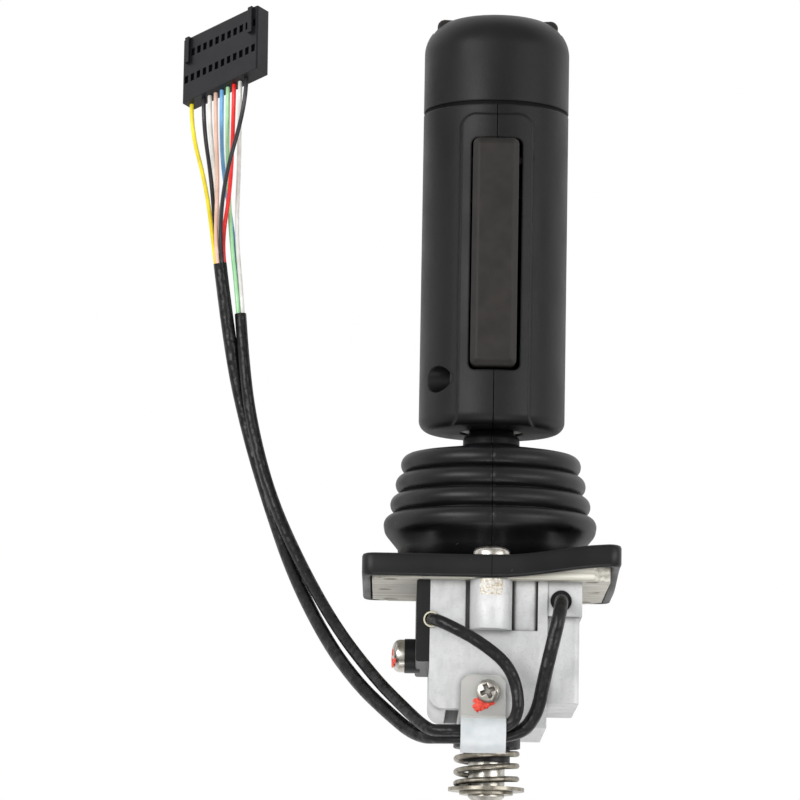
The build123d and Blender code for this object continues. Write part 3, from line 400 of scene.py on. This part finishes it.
DRESS = {
    "gimbal_housing": CASTING, "axle_bushes": BRONZE, "sensor_cover": COVER, "sensor_board": BOARD,
    "cable_ferrule": RING, "cable_grommet": RUBBER, "cable_clip": NYLON, "plunger_bush": BUSH,
    "connector_housing": CONNECTOR, "lever_hub": MACHINED, "pivot_axle": MACHINED,
    "magnet": MACHINED, "lever_shaft": MACHINED, "jam_nut": SPRING, "grip_shell_left": GRIP,
    "grip_shell_right": GRIP, "grip_screws": SHADE_DARKENED_STEEL, "trigger_pin": SHADE_DARKENED_STEEL,
    "switch_board": BOARD, "trigger_switch": SWITCH,
    "cap_gasket": GASKET, "grip_cap": CAP, "rocker_pin": SHADE_DARKENED_STEEL, "rocker_switches": SWITCH,
    "trigger_bar": TRIGGER, "rocker": TRIGGER, "plunger_stirrup": MACHINED,
    "plunger_rod": MACHINED, "plunger_washer": SPRING, "retaining_clip": SPRING,
}


def dress_nodes():
    """Every carried-over node gets its material on its object's slots."""
    for name, material in DRESS.items():
        for slot in nodes[name].material_slots:
            slot.link = "OBJECT"
            slot.material = material


dress_nodes()


def add_object(name, data, material, body):
    """New piece of the object, riding on a body."""
    piece = bpy.data.objects.new(name, data)
    bpy.context.scene.collection.objects.link(piece)
    data.materials.append(material)
    if body:
        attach(piece, body)
    return piece


def mesh_of(name, vertices, faces, smooth=True):
    """Mesh from points in row metres."""
    mesh = bpy.data.meshes.new(name)
    mesh.from_pydata([tuple(v) for v in vertices], [], faces)
    bm = bmesh.new()
    bm.from_mesh(mesh)
    bmesh.ops.recalc_face_normals(bm, faces=bm.faces)
    bm.to_mesh(mesh)
    bm.free()
    if smooth:
        mesh.shade_smooth()
    return mesh


def band_faces(bands, count):
    """Quads between closed rings of count points each, one band after another."""
    faces = []
    for row in range(bands):
        for i in range(count):
            j = (i + 1) % count
            here, above = row * count, (row + 1) * count
            faces.append((here + i, here + j, above + j, above + i))
    return faces


# Cords: the same points as the solids, smoothed

SENSOR_SLEEVE_D = 3.6
GRIP_SLEEVE_D = 4.1
WIRE_D = 1.3
FERRULE = (-17.4, -11.8)
CABLE_HOLE = (20.6, -5.7)
LOOP = (-36.6, -45.6)
CLIP_EDGES = (-8.45, 4.75)
BUNDLE_DEPTH = 3.6
BUNDLE_RISE = 1.56
SENSOR_ROUTE = [(-17.9, -40.8, 39.5), (-25.5, -34.2, 28.0), (-33.5, -26.7, 15.0), (-45.6, -12.1, -3.5),
                (-56.5, 6.0, -18.6), (-66.3, 26.1, -29.8), (-72.2, 45.7, -32.6), (-75.7, 64.7, -33.3),
                (-77.4, 84.0, -36.7)]
GRIP_ROUTE = [(-21.0, -43.1, 31.0), (-29.9, -36.2, 22.0), (-38.9, -28.1, 12.5), (-48.5, -15.9, -3.0),
              (-59.0, 3.2, -21.0), (-67.2, 24.9, -34.0), (-74.3, 47.0, -36.4), (-80.3, 72.0, -36.4),
              (-84.0, 99.5, -36.4)]
GRIP_WIRES = {"wire_yellow": (180, 0, [(-88.6, 123.2, -31.0)]),
              "wire_black": (240, 2, [(-86.9, 124.2, -34.5)]),
              "wire_white": (300, 3, [(-85.8, 125.6, -33.0)]),
              "wire_pink": (120, 4, [(-84.8, 124.0, -28.5)]),
              "wire_black_right": (60, 9, [(-82.7, 123.9, -20.0)]),
              "wire_red": (0, 7, [(-80.9, 121.7, -29.0)])}
SENSOR_WIRES = {"wire_green": (150, 6, [(-80.7, 106.8, -36.0), (-82.1, 128.7, -32.0)]),
                "wire_blue": (270, 5, [(-80.2, 109.4, -37.6), (-83.9, 129.8, -35.0)]),
                "wire_white_right": (30, 8, [(-79.2, 109.2, -35.5), (-78.4, 129.3, -28.0)])}
CONNECTOR_AT = Vector((-84.7, 162.4, -20.2))
CONNECTOR_ACROSS = Vector((0.745, 0.296, 0.598)).normalized()
CONNECTOR_DOWN = Vector((0.015, -0.905, 0.426))
CONNECTOR_DOWN = (CONNECTOR_DOWN - CONNECTOR_ACROSS * CONNECTOR_DOWN.dot(CONNECTOR_ACROSS)).normalized()
CONNECTOR_OUT = CONNECTOR_ACROSS.cross(-CONNECTOR_DOWN)
CONNECTOR_LENGTH = 22.4
CONNECTOR_T = 5.2
WIRE_PITCH = 2.54
WIRE_STUB = 7.0
WIRE_ARRIVAL = 9.0


def way(index, depth):
    """Point below a wire way of the plug, in mm from the flange centre."""
    across = (index - 5.5) * WIRE_PITCH
    down = CONNECTOR_LENGTH / 2 + depth
    return (CONNECTOR_AT + CONNECTOR_ACROSS * across + CONNECTOR_DOWN * down
            - CONNECTOR_OUT * (CONNECTOR_T / 2))


def sleeve_points():
    """Route points of both sleeves in the row frame."""
    nearer = laid(0, -BUNDLE_DEPTH / 2, BUNDLE_RISE / 2) - laid(0, 0, 0)
    clip_right = CLIP_EDGES[1]
    clip_out = laid(CLIP_EDGES[0] - 5, LOOP[0], LOOP[1])
    sensor = [laid(FERRULE[0], -25.8, FERRULE[1]), laid(FERRULE[0], -35.2, FERRULE[1]),
              laid(FERRULE[0] + 4.2, -39.9, FERRULE[1] - 2),
              laid(FERRULE[0] + 14, -40.9, FERRULE[1] - 7), laid(6.3, -41, LOOP[1] + 19.1),
              laid(clip_right + 4.15, -40.6, LOOP[1] + 7),
              laid(clip_right + 0.2, LOOP[0] - 1.9, LOOP[1] + 1.1), clip_out + nearer]
    grip = [laid(CABLE_HOLE[0], -28.6, CABLE_HOLE[1]), laid(CABLE_HOLE[0], -36, CABLE_HOLE[1]),
            laid(CABLE_HOLE[0] - 0.8, -41.3, CABLE_HOLE[1] - 5.4),
            laid(CABLE_HOLE[0] - 3, -41.2, CABLE_HOLE[1] - 14.8),
            laid(clip_right + 10.65, -39, LOOP[1] + 15.1),
            laid(clip_right + 9.05, -36.4, LOOP[1] + 6),
            laid(clip_right + 3.5, LOOP[0] + 1.7, LOOP[1] - 0.6), clip_out - nearer]
    return (sensor + [table_point(p) for p in SENSOR_ROUTE],
            grip + [table_point(p) for p in GRIP_ROUTE])


def nurbs(name, points, diameter, material):
    """Round cord along a smooth line that the points control."""
    curve = bpy.data.curves.new(name, "CURVE")
    curve.dimensions = "3D"
    curve.bevel_depth = diameter * MM / 2
    curve.bevel_resolution = 5
    curve.resolution_u = 16
    curve.use_fill_caps = True
    spline = curve.splines.new("NURBS")
    spline.points.add(len(points) - 1)
    for control, point in zip(spline.points, points):
        control.co = (*point, 1.0)
    spline.order_u = 3
    spline.use_endpoint_u = True
    return add_object(name, curve, material, "base")


def line_length(piece):
    """Length of the curve's own line, in metres."""
    curve = piece.data.copy()
    curve.bevel_depth = 0.0
    probe = bpy.data.objects.new("probe", curve)
    mesh = bpy.data.meshes.new_from_object(probe)
    points = [v.co.copy() for v in mesh.vertices]
    bpy.data.objects.remove(probe)
    bpy.data.meshes.remove(mesh)
    bpy.data.curves.remove(curve)
    return sum((b - a).length for a, b in zip(points, points[1:]))


def add_cord(name, points, diameter, material):
    piece = nurbs(name + "_cord", points, diameter, material)
    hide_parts(name)
    line_length(piece)
    return piece


def add_wires(route, ring, wires):
    """Wires from a sleeve's end face to the plug."""
    end = Vector(route[-1])
    along = (end - Vector(route[-2])).normalized()
    side = along.cross(Vector((0, 0, 1))).normalized()
    upward = side.cross(along)
    for name, (degrees, index, between) in wires.items():
        turn = math.radians(degrees)
        start = end + side * (ring * math.cos(turn)) + upward * (ring * math.sin(turn))
        points = [start, start + along * WIRE_STUB, *between, way(index, WIRE_ARRIVAL), way(index, 0)]
        colour = {"wire_black_right": "wire_black", "wire_white_right": "wire_white"}.get(name, name)
        add_cord(name, [table_point(p) for p in points], WIRE_D, WIRES[colour])


sensor_points, grip_points = sleeve_points()
add_cord("sensor_sleeve", sensor_points, SENSOR_SLEEVE_D, SLEEVE)
add_cord("grip_sleeve", grip_points, GRIP_SLEEVE_D, SLEEVE)
add_wires(GRIP_ROUTE, 1.33, GRIP_WIRES)
add_wires(SENSOR_ROUTE, 0.8, SENSOR_WIRES)


# Rubber boot

RINGS = ((32.0, 19.3), (30.1, 25.5), (28.6, 31.6), (27.1, 37.6))
RING_TUBE = 3.15
COLLAR_R = 27.2
COLLAR_INNER_R = 23.2
PLATE_T = 4.5
LIP_Z = 0.3
NECK_TOP = 47.9
SHAFT_R = 5.05


def boot_profile():
    """(radius, height) pairs from the inside of the collar, over the rings, into the neck."""
    points = [(COLLAR_INNER_R, PLATE_T + 0.1), (COLLAR_INNER_R, FLANGE_TOP - 0.4),
              (COLLAR_R, FLANGE_TOP - 0.4), (COLLAR_R, 12.0), (COLLAR_R - 0.1, 15.0),
              (COLLAR_R + 0.8, 16.2)]
    for index, (radius, z) in enumerate(RINGS):
        low = -62 if index == 0 else -72
        high = 84 if index == len(RINGS) - 1 else 72
        steps = 11
        for step in range(steps + 1):
            angle = math.radians(low + (high - low) * step / steps)
            points.append((radius - RING_TUBE * (1 - math.cos(angle)), z + RING_TUBE * math.sin(angle)))
    points += [(19.0, 41.6), (13.0, 42.2), (9.9, 42.6), (8.8, 43.2), (8.55, 44.0), (8.5, 45.4),
               (8.2, 46.3), (7.4, 46.8), (6.9, NECK_TOP - 0.3), (6.6, NECK_TOP),
               (SHAFT_R, NECK_TOP), (SHAFT_R, NECK_TOP - 3)]
    return points


def seam_angles(count):
    """Angles round the lever with close pairs beside the parting line at front and back."""
    angles = [2 * math.pi * i / count for i in range(count)]
    for centre in (math.pi / 2, 3 * math.pi / 2):
        angles = [a for a in angles if abs(a - centre) > 0.02]
        angles += [centre - 0.014, centre - 0.006, centre + 0.006, centre + 0.014]
    return sorted(angles)


def web(radius, z, angle):
    """Growth of the collar over each flange screw, up to the lowest ring's outside, in mm."""
    if not 10.0 < z < RINGS[0][1] or radius < COLLAR_R - 5:
        return 0.0
    turn = angle % (math.pi / 2)
    share = max(0.0, math.cos(2 * min(turn, math.pi / 2 - turn)))
    wall = COLLAR_R + (RINGS[0][0] - 0.2 - COLLAR_R) * smooth_step((z - 10.5) / 7.5)
    return max(0.0, wall - radius) * smooth_step(1.6 * share)


def bellows_mesh():
    """Bellows, collar and neck, with a fine parting groove at front and back."""
    profile = boot_profile()
    angles = seam_angles(120)
    vertices = []
    for radius, z in profile:
        for angle in angles:
            off = min(abs(angle - math.pi / 2), abs(angle - 3 * math.pi / 2))
            groove = 0.12 if off < 0.008 and radius > SHAFT_R + 1 else 0.0
            lift = right_lift(radius * math.cos(angle), radius * math.sin(angle)) * max(0.0, (24 - z) / 24)
            reach = radius - groove + web(radius, z, angle)
            vertices.append(laid(reach * math.cos(angle), reach * math.sin(angle), z + 0.6 * lift))
    return mesh_of("boot_bellows", vertices, band_faces(len(profile) - 1, len(angles)))


def smooth_step(value):
    value = min(1.0, max(0.0, value))
    return value * value * (3 - 2 * value)


def right_lift(x, y):
    """How far the soft flange stands off the plate at its right front corner, in mm."""
    return 3.6 * smooth_step((x - 2) / 34) * smooth_step((14 - y) / 42)


def rounded_square(half, corner, per_corner=8, per_side=14):
    """Outline of a square with round corners, as (x, y) pairs."""
    points = []
    for quarter in range(4):
        turn = quarter * math.pi / 2
        for step in range(per_corner + 1):
            angle = turn + math.pi / 2 * step / per_corner
            cx, cy = [(half - corner) * s for s in ((1, 1), (-1, 1), (-1, -1), (1, -1))[quarter]]
            points.append((cx + corner * math.cos(angle), cy + corner * math.sin(angle)))
        here = points[-1]
        ahead = turn + math.pi / 2
        cx, cy = [(half - corner) * s for s in ((-1, 1), (-1, -1), (1, -1), (1, 1))[quarter]]
        there = (cx + corner * math.cos(ahead), cy + corner * math.sin(ahead))
        for step in range(1, per_side):
            share = step / per_side
            points.append((here[0] + (there[0] - here[0]) * share, here[1] + (there[1] - here[1]) * share))
    return points


def flange_mesh():
    """Square rubber flange with soft edges and a lip round the plate."""
    rings = []
    for inset, z in ((2.6, LIP_Z + 3.9), (2.55, LIP_Z + 0.5), (2.3, LIP_Z + 0.1), (0.9, LIP_Z),
                     (0.3, LIP_Z + 0.25), (0.0, LIP_Z + 0.9), (0.0, FLANGE_TOP - 1.0),
                     (0.3, FLANGE_TOP - 0.3),
                     (1.0, FLANGE_TOP), (5.0, FLANGE_TOP), (8.0, FLANGE_TOP)):
        outline = rounded_square(FLANGE_HALF - inset, max(0.8, 3.5 - inset * 0.5))
        rings.append([(x, y, z + right_lift(x, y)) for x, y in outline])
    inner = []
    for x, y, z in rings[-1]:
        angle = math.atan2(y, x)
        radius = COLLAR_R - 0.4
        px, py = radius * math.cos(angle), radius * math.sin(angle)
        inner.append((px, py, FLANGE_TOP + 0.8 * right_lift(px, py)))
    rings.append(inner)
    vertices = [laid(*p) for ring in rings for p in ring]
    return mesh_of("boot_flange", vertices, band_faces(len(rings) - 1, len(rings[0])))


bellows = bpy.data.objects.new("boot_bellows", bellows_mesh())
bpy.context.scene.collection.objects.link(bellows)
bellows.data.materials.append(RUBBER)
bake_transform(bellows)
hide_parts("bellows_boot")
flange = add_object("boot_flange", flange_mesh(), RUBBER, "base")
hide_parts("bellows_boot")


# Screws with cross recesses

HEAD_BULGE = 0.62
SCREW_PITCH_R = 31.2
FLANGE_HEAD_R, FLANGE_HEAD_H = 5.45, 3.0
CLIP_HEAD_R, CLIP_HEAD_H = 3.45, 2.0
CLIP_SCREW_AT = (-0.6, -33.2, -32.8)
END_HEAD_R, END_HEAD_H = 4.9, 3.9
END_SCREW_AT = (-25.0, 0, -20.0)

def screw_head(name, radius, height, place, body):
    """Domed head with a cross recess. place maps its own z, out of the head, to the row frame."""
    rings, sectors = 22, 72
    cross_half, cross_reach, depth = radius * 0.15, radius * 0.56, height * 0.85
    vertices = []
    rim = height * (1 - HEAD_BULGE)
    for ring in range(rings + 1):
        share = ring / rings
        r = radius * share
        for sector in range(sectors):
            angle = 2 * math.pi * sector / sectors
            x, y = r * math.cos(angle), r * math.sin(angle)
            z = rim + (height - rim) * math.sqrt(max(0.0, 1 - share ** 2.6))
            arm = min(max(abs(x) / cross_reach, abs(y) / cross_half),
                      max(abs(y) / cross_reach, abs(x) / cross_half))
            z -= depth * smooth_step((1.2 - arm) / 0.35)
            vertices.append(place @ Vector((x * MM, y * MM, z * MM)))
    for sector in range(sectors):
        angle = 2 * math.pi * sector / sectors
        vertices.append(place @ Vector((radius * math.cos(angle) * MM, radius * math.sin(angle) * MM, 0)))
    mesh = mesh_of(name, vertices, band_faces(rings + 1, sectors))
    return add_object(name, mesh, SCREW, body)


def facing(x, y, z, direction, turn=0.0):
    """Matrix at an upright point whose z axis points along a direction of the upright drawing."""
    out = Vector(direction).to_track_quat("Z", "Y").to_matrix().to_4x4()
    return LAID @ Matrix.Translation(Vector((x, y, z)) * MM) @ out @ Matrix.Rotation(turn, 4, "Z")


for index, angle in enumerate((270, 0, 90, 180)):
    x, y = (SCREW_PITCH_R * f(math.radians(angle)) for f in (math.cos, math.sin))
    head_place = facing(x, y, FLANGE_TOP, (0, 0, 1), 0.5 * index)
    head = screw_head(f"flange_screw_{index}", FLANGE_HEAD_R, FLANGE_HEAD_H, head_place, "base")
    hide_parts("flange_screws")
clip_place = facing(*CLIP_SCREW_AT, (0, -1, 0), 0.42)
clip_head = screw_head("clip_screw_head", CLIP_HEAD_R, CLIP_HEAD_H, clip_place, "base")
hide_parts("clip_screw")
end_place = facing(*END_SCREW_AT, (-1, 0, 0), 0.3)
end_head = screw_head("end_screw_head", END_HEAD_R, END_HEAD_H, end_place, "base")
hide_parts("end_screw")


# Rocker ends that stand out of the shoulders of the cap

ROCKER_END_IN = 11.5
ROCKER_END_OUT = 18.3
ROCKER_END_TOP = 173.6
ROCKER_END_HALF = 6.1
ROCKER_END_ROUND = 2.3
ROCKER_END_LOW = 169.5


def rocker_end_mesh(name, side):
    """Round-shouldered end of the rocker on one side (-1 left, 1 right)."""
    outline = [(ROCKER_END_IN, ROCKER_END_LOW), (ROCKER_END_OUT - 0.2, ROCKER_END_LOW)]
    for step in range(9):
        angle = math.pi / 2 * step / 8
        outline.append((ROCKER_END_OUT - ROCKER_END_ROUND * (1 - math.cos(angle)),
                        ROCKER_END_TOP - ROCKER_END_ROUND * (1 - math.sin(angle))))
    outline += [(ROCKER_END_IN + 2.2, ROCKER_END_TOP - 0.15), (ROCKER_END_IN, ROCKER_END_TOP - 1.5)]
    vertices = []
    for y, inset in ((-1.0, 0.5), (-0.92, 0.0), (0.92, 0.0), (1.0, 0.5)):
        for x, z in outline:
            middle = ((ROCKER_END_IN + ROCKER_END_OUT) / 2, (ROCKER_END_LOW + ROCKER_END_TOP) / 2)
            x += inset * (middle[0] - x) / 3.4
            z += inset * (middle[1] - z) / 1.75
            vertices.append(laid(side * x, y * ROCKER_END_HALF, z))
    count = len(outline)
    ends = [tuple(range(count)), tuple(3 * count + i for i in range(count))]
    return mesh_of(name, vertices, ends + band_faces(3, count), smooth=False)


for rocker_side, side_name in ((-1, "left"), (1, "right")):
    end_name = "rocker_end_" + side_name
    add_object(end_name, rocker_end_mesh(end_name, rocker_side), TRIGGER, "thumb_rocker")


# Springs

SPRING_R = 9.05
SPRING_WIRE_R = 0.85
SPRING_TOP = -47.3
SPRING_BOTTOM = -59.0
TRIGGER_SPRING_R = 2.2
TRIGGER_SPRING_WIRE_R = 0.3
TRIGGER_SPRING_Z = 104.0
TRIGGER_FLOOR_Y = -19.6
SWITCH_BOARD_Y = -8.5


def coil_mesh(name, place, radius, wire_radius, turns, start, end, phase=0.0):
    """Coil along its own z from start to end, with closer turns at both ends."""
    steps, around = round(turns * 50), 12
    low, high = start + wire_radius, end - wire_radius
    centres = []
    for step in range(steps + 1):
        share = step / steps
        eased = smooth_step(share) * 0.35 + share * 0.65
        angle = 2 * math.pi * turns * share + phase
        height = low + (high - low) * eased
        centres.append(Vector((radius * math.cos(angle), radius * math.sin(angle), height)))
    vertices = []
    for step, centre in enumerate(centres):
        ahead = centres[min(step + 1, steps)] - centres[max(step - 1, 0)]
        outward = Vector((centre.x, centre.y, 0)).normalized()
        across = ahead.cross(outward).normalized()
        for i in range(around):
            angle = 2 * math.pi * i / around
            offset = outward * math.cos(angle) + across * math.sin(angle)
            vertices.append(place(*(centre + offset * wire_radius)))
    ends = [tuple(range(around)), tuple(steps * around + i for i in range(around))]
    return mesh_of(name, vertices, band_faces(steps, around) + ends)


def from_board(x, y, z):
    """Point of the trigger spring, whose own z runs from the board out to the trigger."""
    return laid(x, SWITCH_BOARD_Y - z, TRIGGER_SPRING_Z + y)


return_coil = coil_mesh("return_spring", laid, SPRING_R, SPRING_WIRE_R, 2.9, SPRING_BOTTOM, SPRING_TOP, 2.2)
spring = bpy.data.objects.new("return_spring", return_coil)
bpy.context.scene.collection.objects.link(spring)
spring.data.materials.append(SPRING)
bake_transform(spring)
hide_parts("centring_spring")

trigger_coil = coil_mesh("trigger_coil", from_board, TRIGGER_SPRING_R, TRIGGER_SPRING_WIRE_R, 5.0,
                         0.0, SWITCH_BOARD_Y - TRIGGER_FLOOR_Y)
trigger_spring = add_object("trigger_coil", trigger_coil, SPRING, "lever")
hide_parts("trigger_spring")
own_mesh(trigger_spring)


# Locking paint

def paint_patch(name, centre, radii, direction, body, seed, turn=0.0):
    """Small blotch of paint with an uneven rim, slightly domed."""
    place = facing(*centre, direction, turn)
    rings, sectors = 7, 40
    vertices, faces = [place @ Vector((0, 0, 0.35 * MM))], []
    for ring in range(1, rings + 1):
        share = ring / rings
        for sector in range(sectors):
            angle = 2 * math.pi * sector / sectors
            rim = 1 + 0.16 * math.sin(3 * angle + seed) + 0.09 * math.sin(7 * angle + 2 * seed)
            rim += 0.05 * math.sin(13 * angle + seed * 3)
            x = radii[0] * share * rim * math.cos(angle)
            y = radii[1] * share * rim * math.sin(angle)
            z = 0.35 * (1 - share ** 3) + 0.06 * math.sin(9 * x + seed) * math.cos(8 * y) * (1 - share)
            vertices.append(place @ Vector((x * MM, y * MM, z * MM)))
    for sector in range(sectors):
        after = (sector + 1) % sectors
        faces.append((0, 1 + sector, 1 + after))
        for ring in range(rings - 1):
            a, b = 1 + ring * sectors + sector, 1 + ring * sectors + after
            faces.append((a, b, b + sectors, a + sectors))
    return add_object(name, mesh_of(name, vertices, faces), PAINT, body)


paint_patch("clip_screw_paint", (-2.0, -33.22, -36.4), (3.0, 1.9), (0, -1, 0), "base", 1.3, 0.1)
paint_patch("clip_screw_drip", (-3.9, -33.2, -37.6), (0.9, 1.3), (0, -1, 0), "base", 0.4, 0.4)
paint_patch("end_screw_paint", (-28.3, -2.4, -20.8), (1.9, 3.0), (-1, -0.35, 0), "base", 2.1)


# Floor, light and background

FLOOR_SIZE = 6.0
FLOOR_GREY = 0.86
WORLD_LIGHT = 0.665


def add_floor():
    """White table that shows plain white to the camera; other rays meet its grey diffuse surface."""
    half = FLOOR_SIZE / 2
    corners = [(-half, -half, 0), (half, -half, 0), (half, half, 0), (-half, half, 0)]
    mesh = bpy.data.meshes.new("floor")
    mesh.from_pydata(corners, [], [(0, 1, 2, 3)])
    floor = bpy.data.objects.new("floor", mesh)
    bpy.context.scene.collection.objects.link(floor)
    material = bpy.data.materials.new("floor")
    material.use_nodes = True
    tree = material.node_tree
    shader = tree.nodes["Principled BSDF"]
    shader.inputs["Base Color"].default_value = (FLOOR_GREY, FLOOR_GREY, FLOOR_GREY, 1)
    shader.inputs["Roughness"].default_value = 0.8
    glow = tree.nodes.new("ShaderNodeEmission")
    blend = tree.nodes.new("ShaderNodeMixShader")
    path = tree.nodes.new("ShaderNodeLightPath")
    tree.links.new(path.outputs["Is Camera Ray"], blend.inputs[0])
    tree.links.new(shader.outputs[0], blend.inputs[1])
    tree.links.new(glow.outputs[0], blend.inputs[2])
    tree.links.new(blend.outputs[0], tree.nodes["Material Output"].inputs["Surface"])
    mesh.materials.append(material)


def add_world():
    """White to the camera, soft grey light for everything else."""
    world = bpy.data.worlds.new("world")
    bpy.context.scene.world = world
    world.use_nodes = True
    tree = world.node_tree
    backdrop = tree.nodes["Background"]
    backdrop.inputs["Color"].default_value = (1, 1, 1, 1)
    path = tree.nodes.new("ShaderNodeLightPath")
    scale = tree.nodes.new("ShaderNodeMapRange")
    scale.inputs["To Min"].default_value = WORLD_LIGHT
    scale.inputs["To Max"].default_value = 1.0
    tree.links.new(path.outputs["Is Camera Ray"], scale.inputs["Value"])
    tree.links.new(scale.outputs["Result"], backdrop.inputs["Strength"])


def add_lamp(name, place, target, size, watts):
    """Square soft box aimed at a point."""
    data = bpy.data.lights.new(name, "AREA")
    data.shape = "RECTANGLE"
    data.size, data.size_y = size
    data.energy = watts
    lamp = bpy.data.objects.new(name, data)
    bpy.context.scene.collection.objects.link(lamp)
    lamp.location = place
    lamp.rotation_euler = (Vector(target) - Vector(place)).to_track_quat("-Z", "Y").to_euler()


add_floor()
add_world()
add_lamp("key", (-0.62, 0.25, 0.85), (0, 0, 0.03), (0.45, 0.7), 7.5)
add_lamp("fill", (0.75, 0.1, 0.7), (0, 0, 0.03), (0.35, 0.8), 4.5)
add_lamp("foot", (0.05, -0.85, 0.75), (0, -0.05, 0.04), (0.8, 0.35), 3.5)

bpy.context.scene.view_settings.view_transform = "Standard"
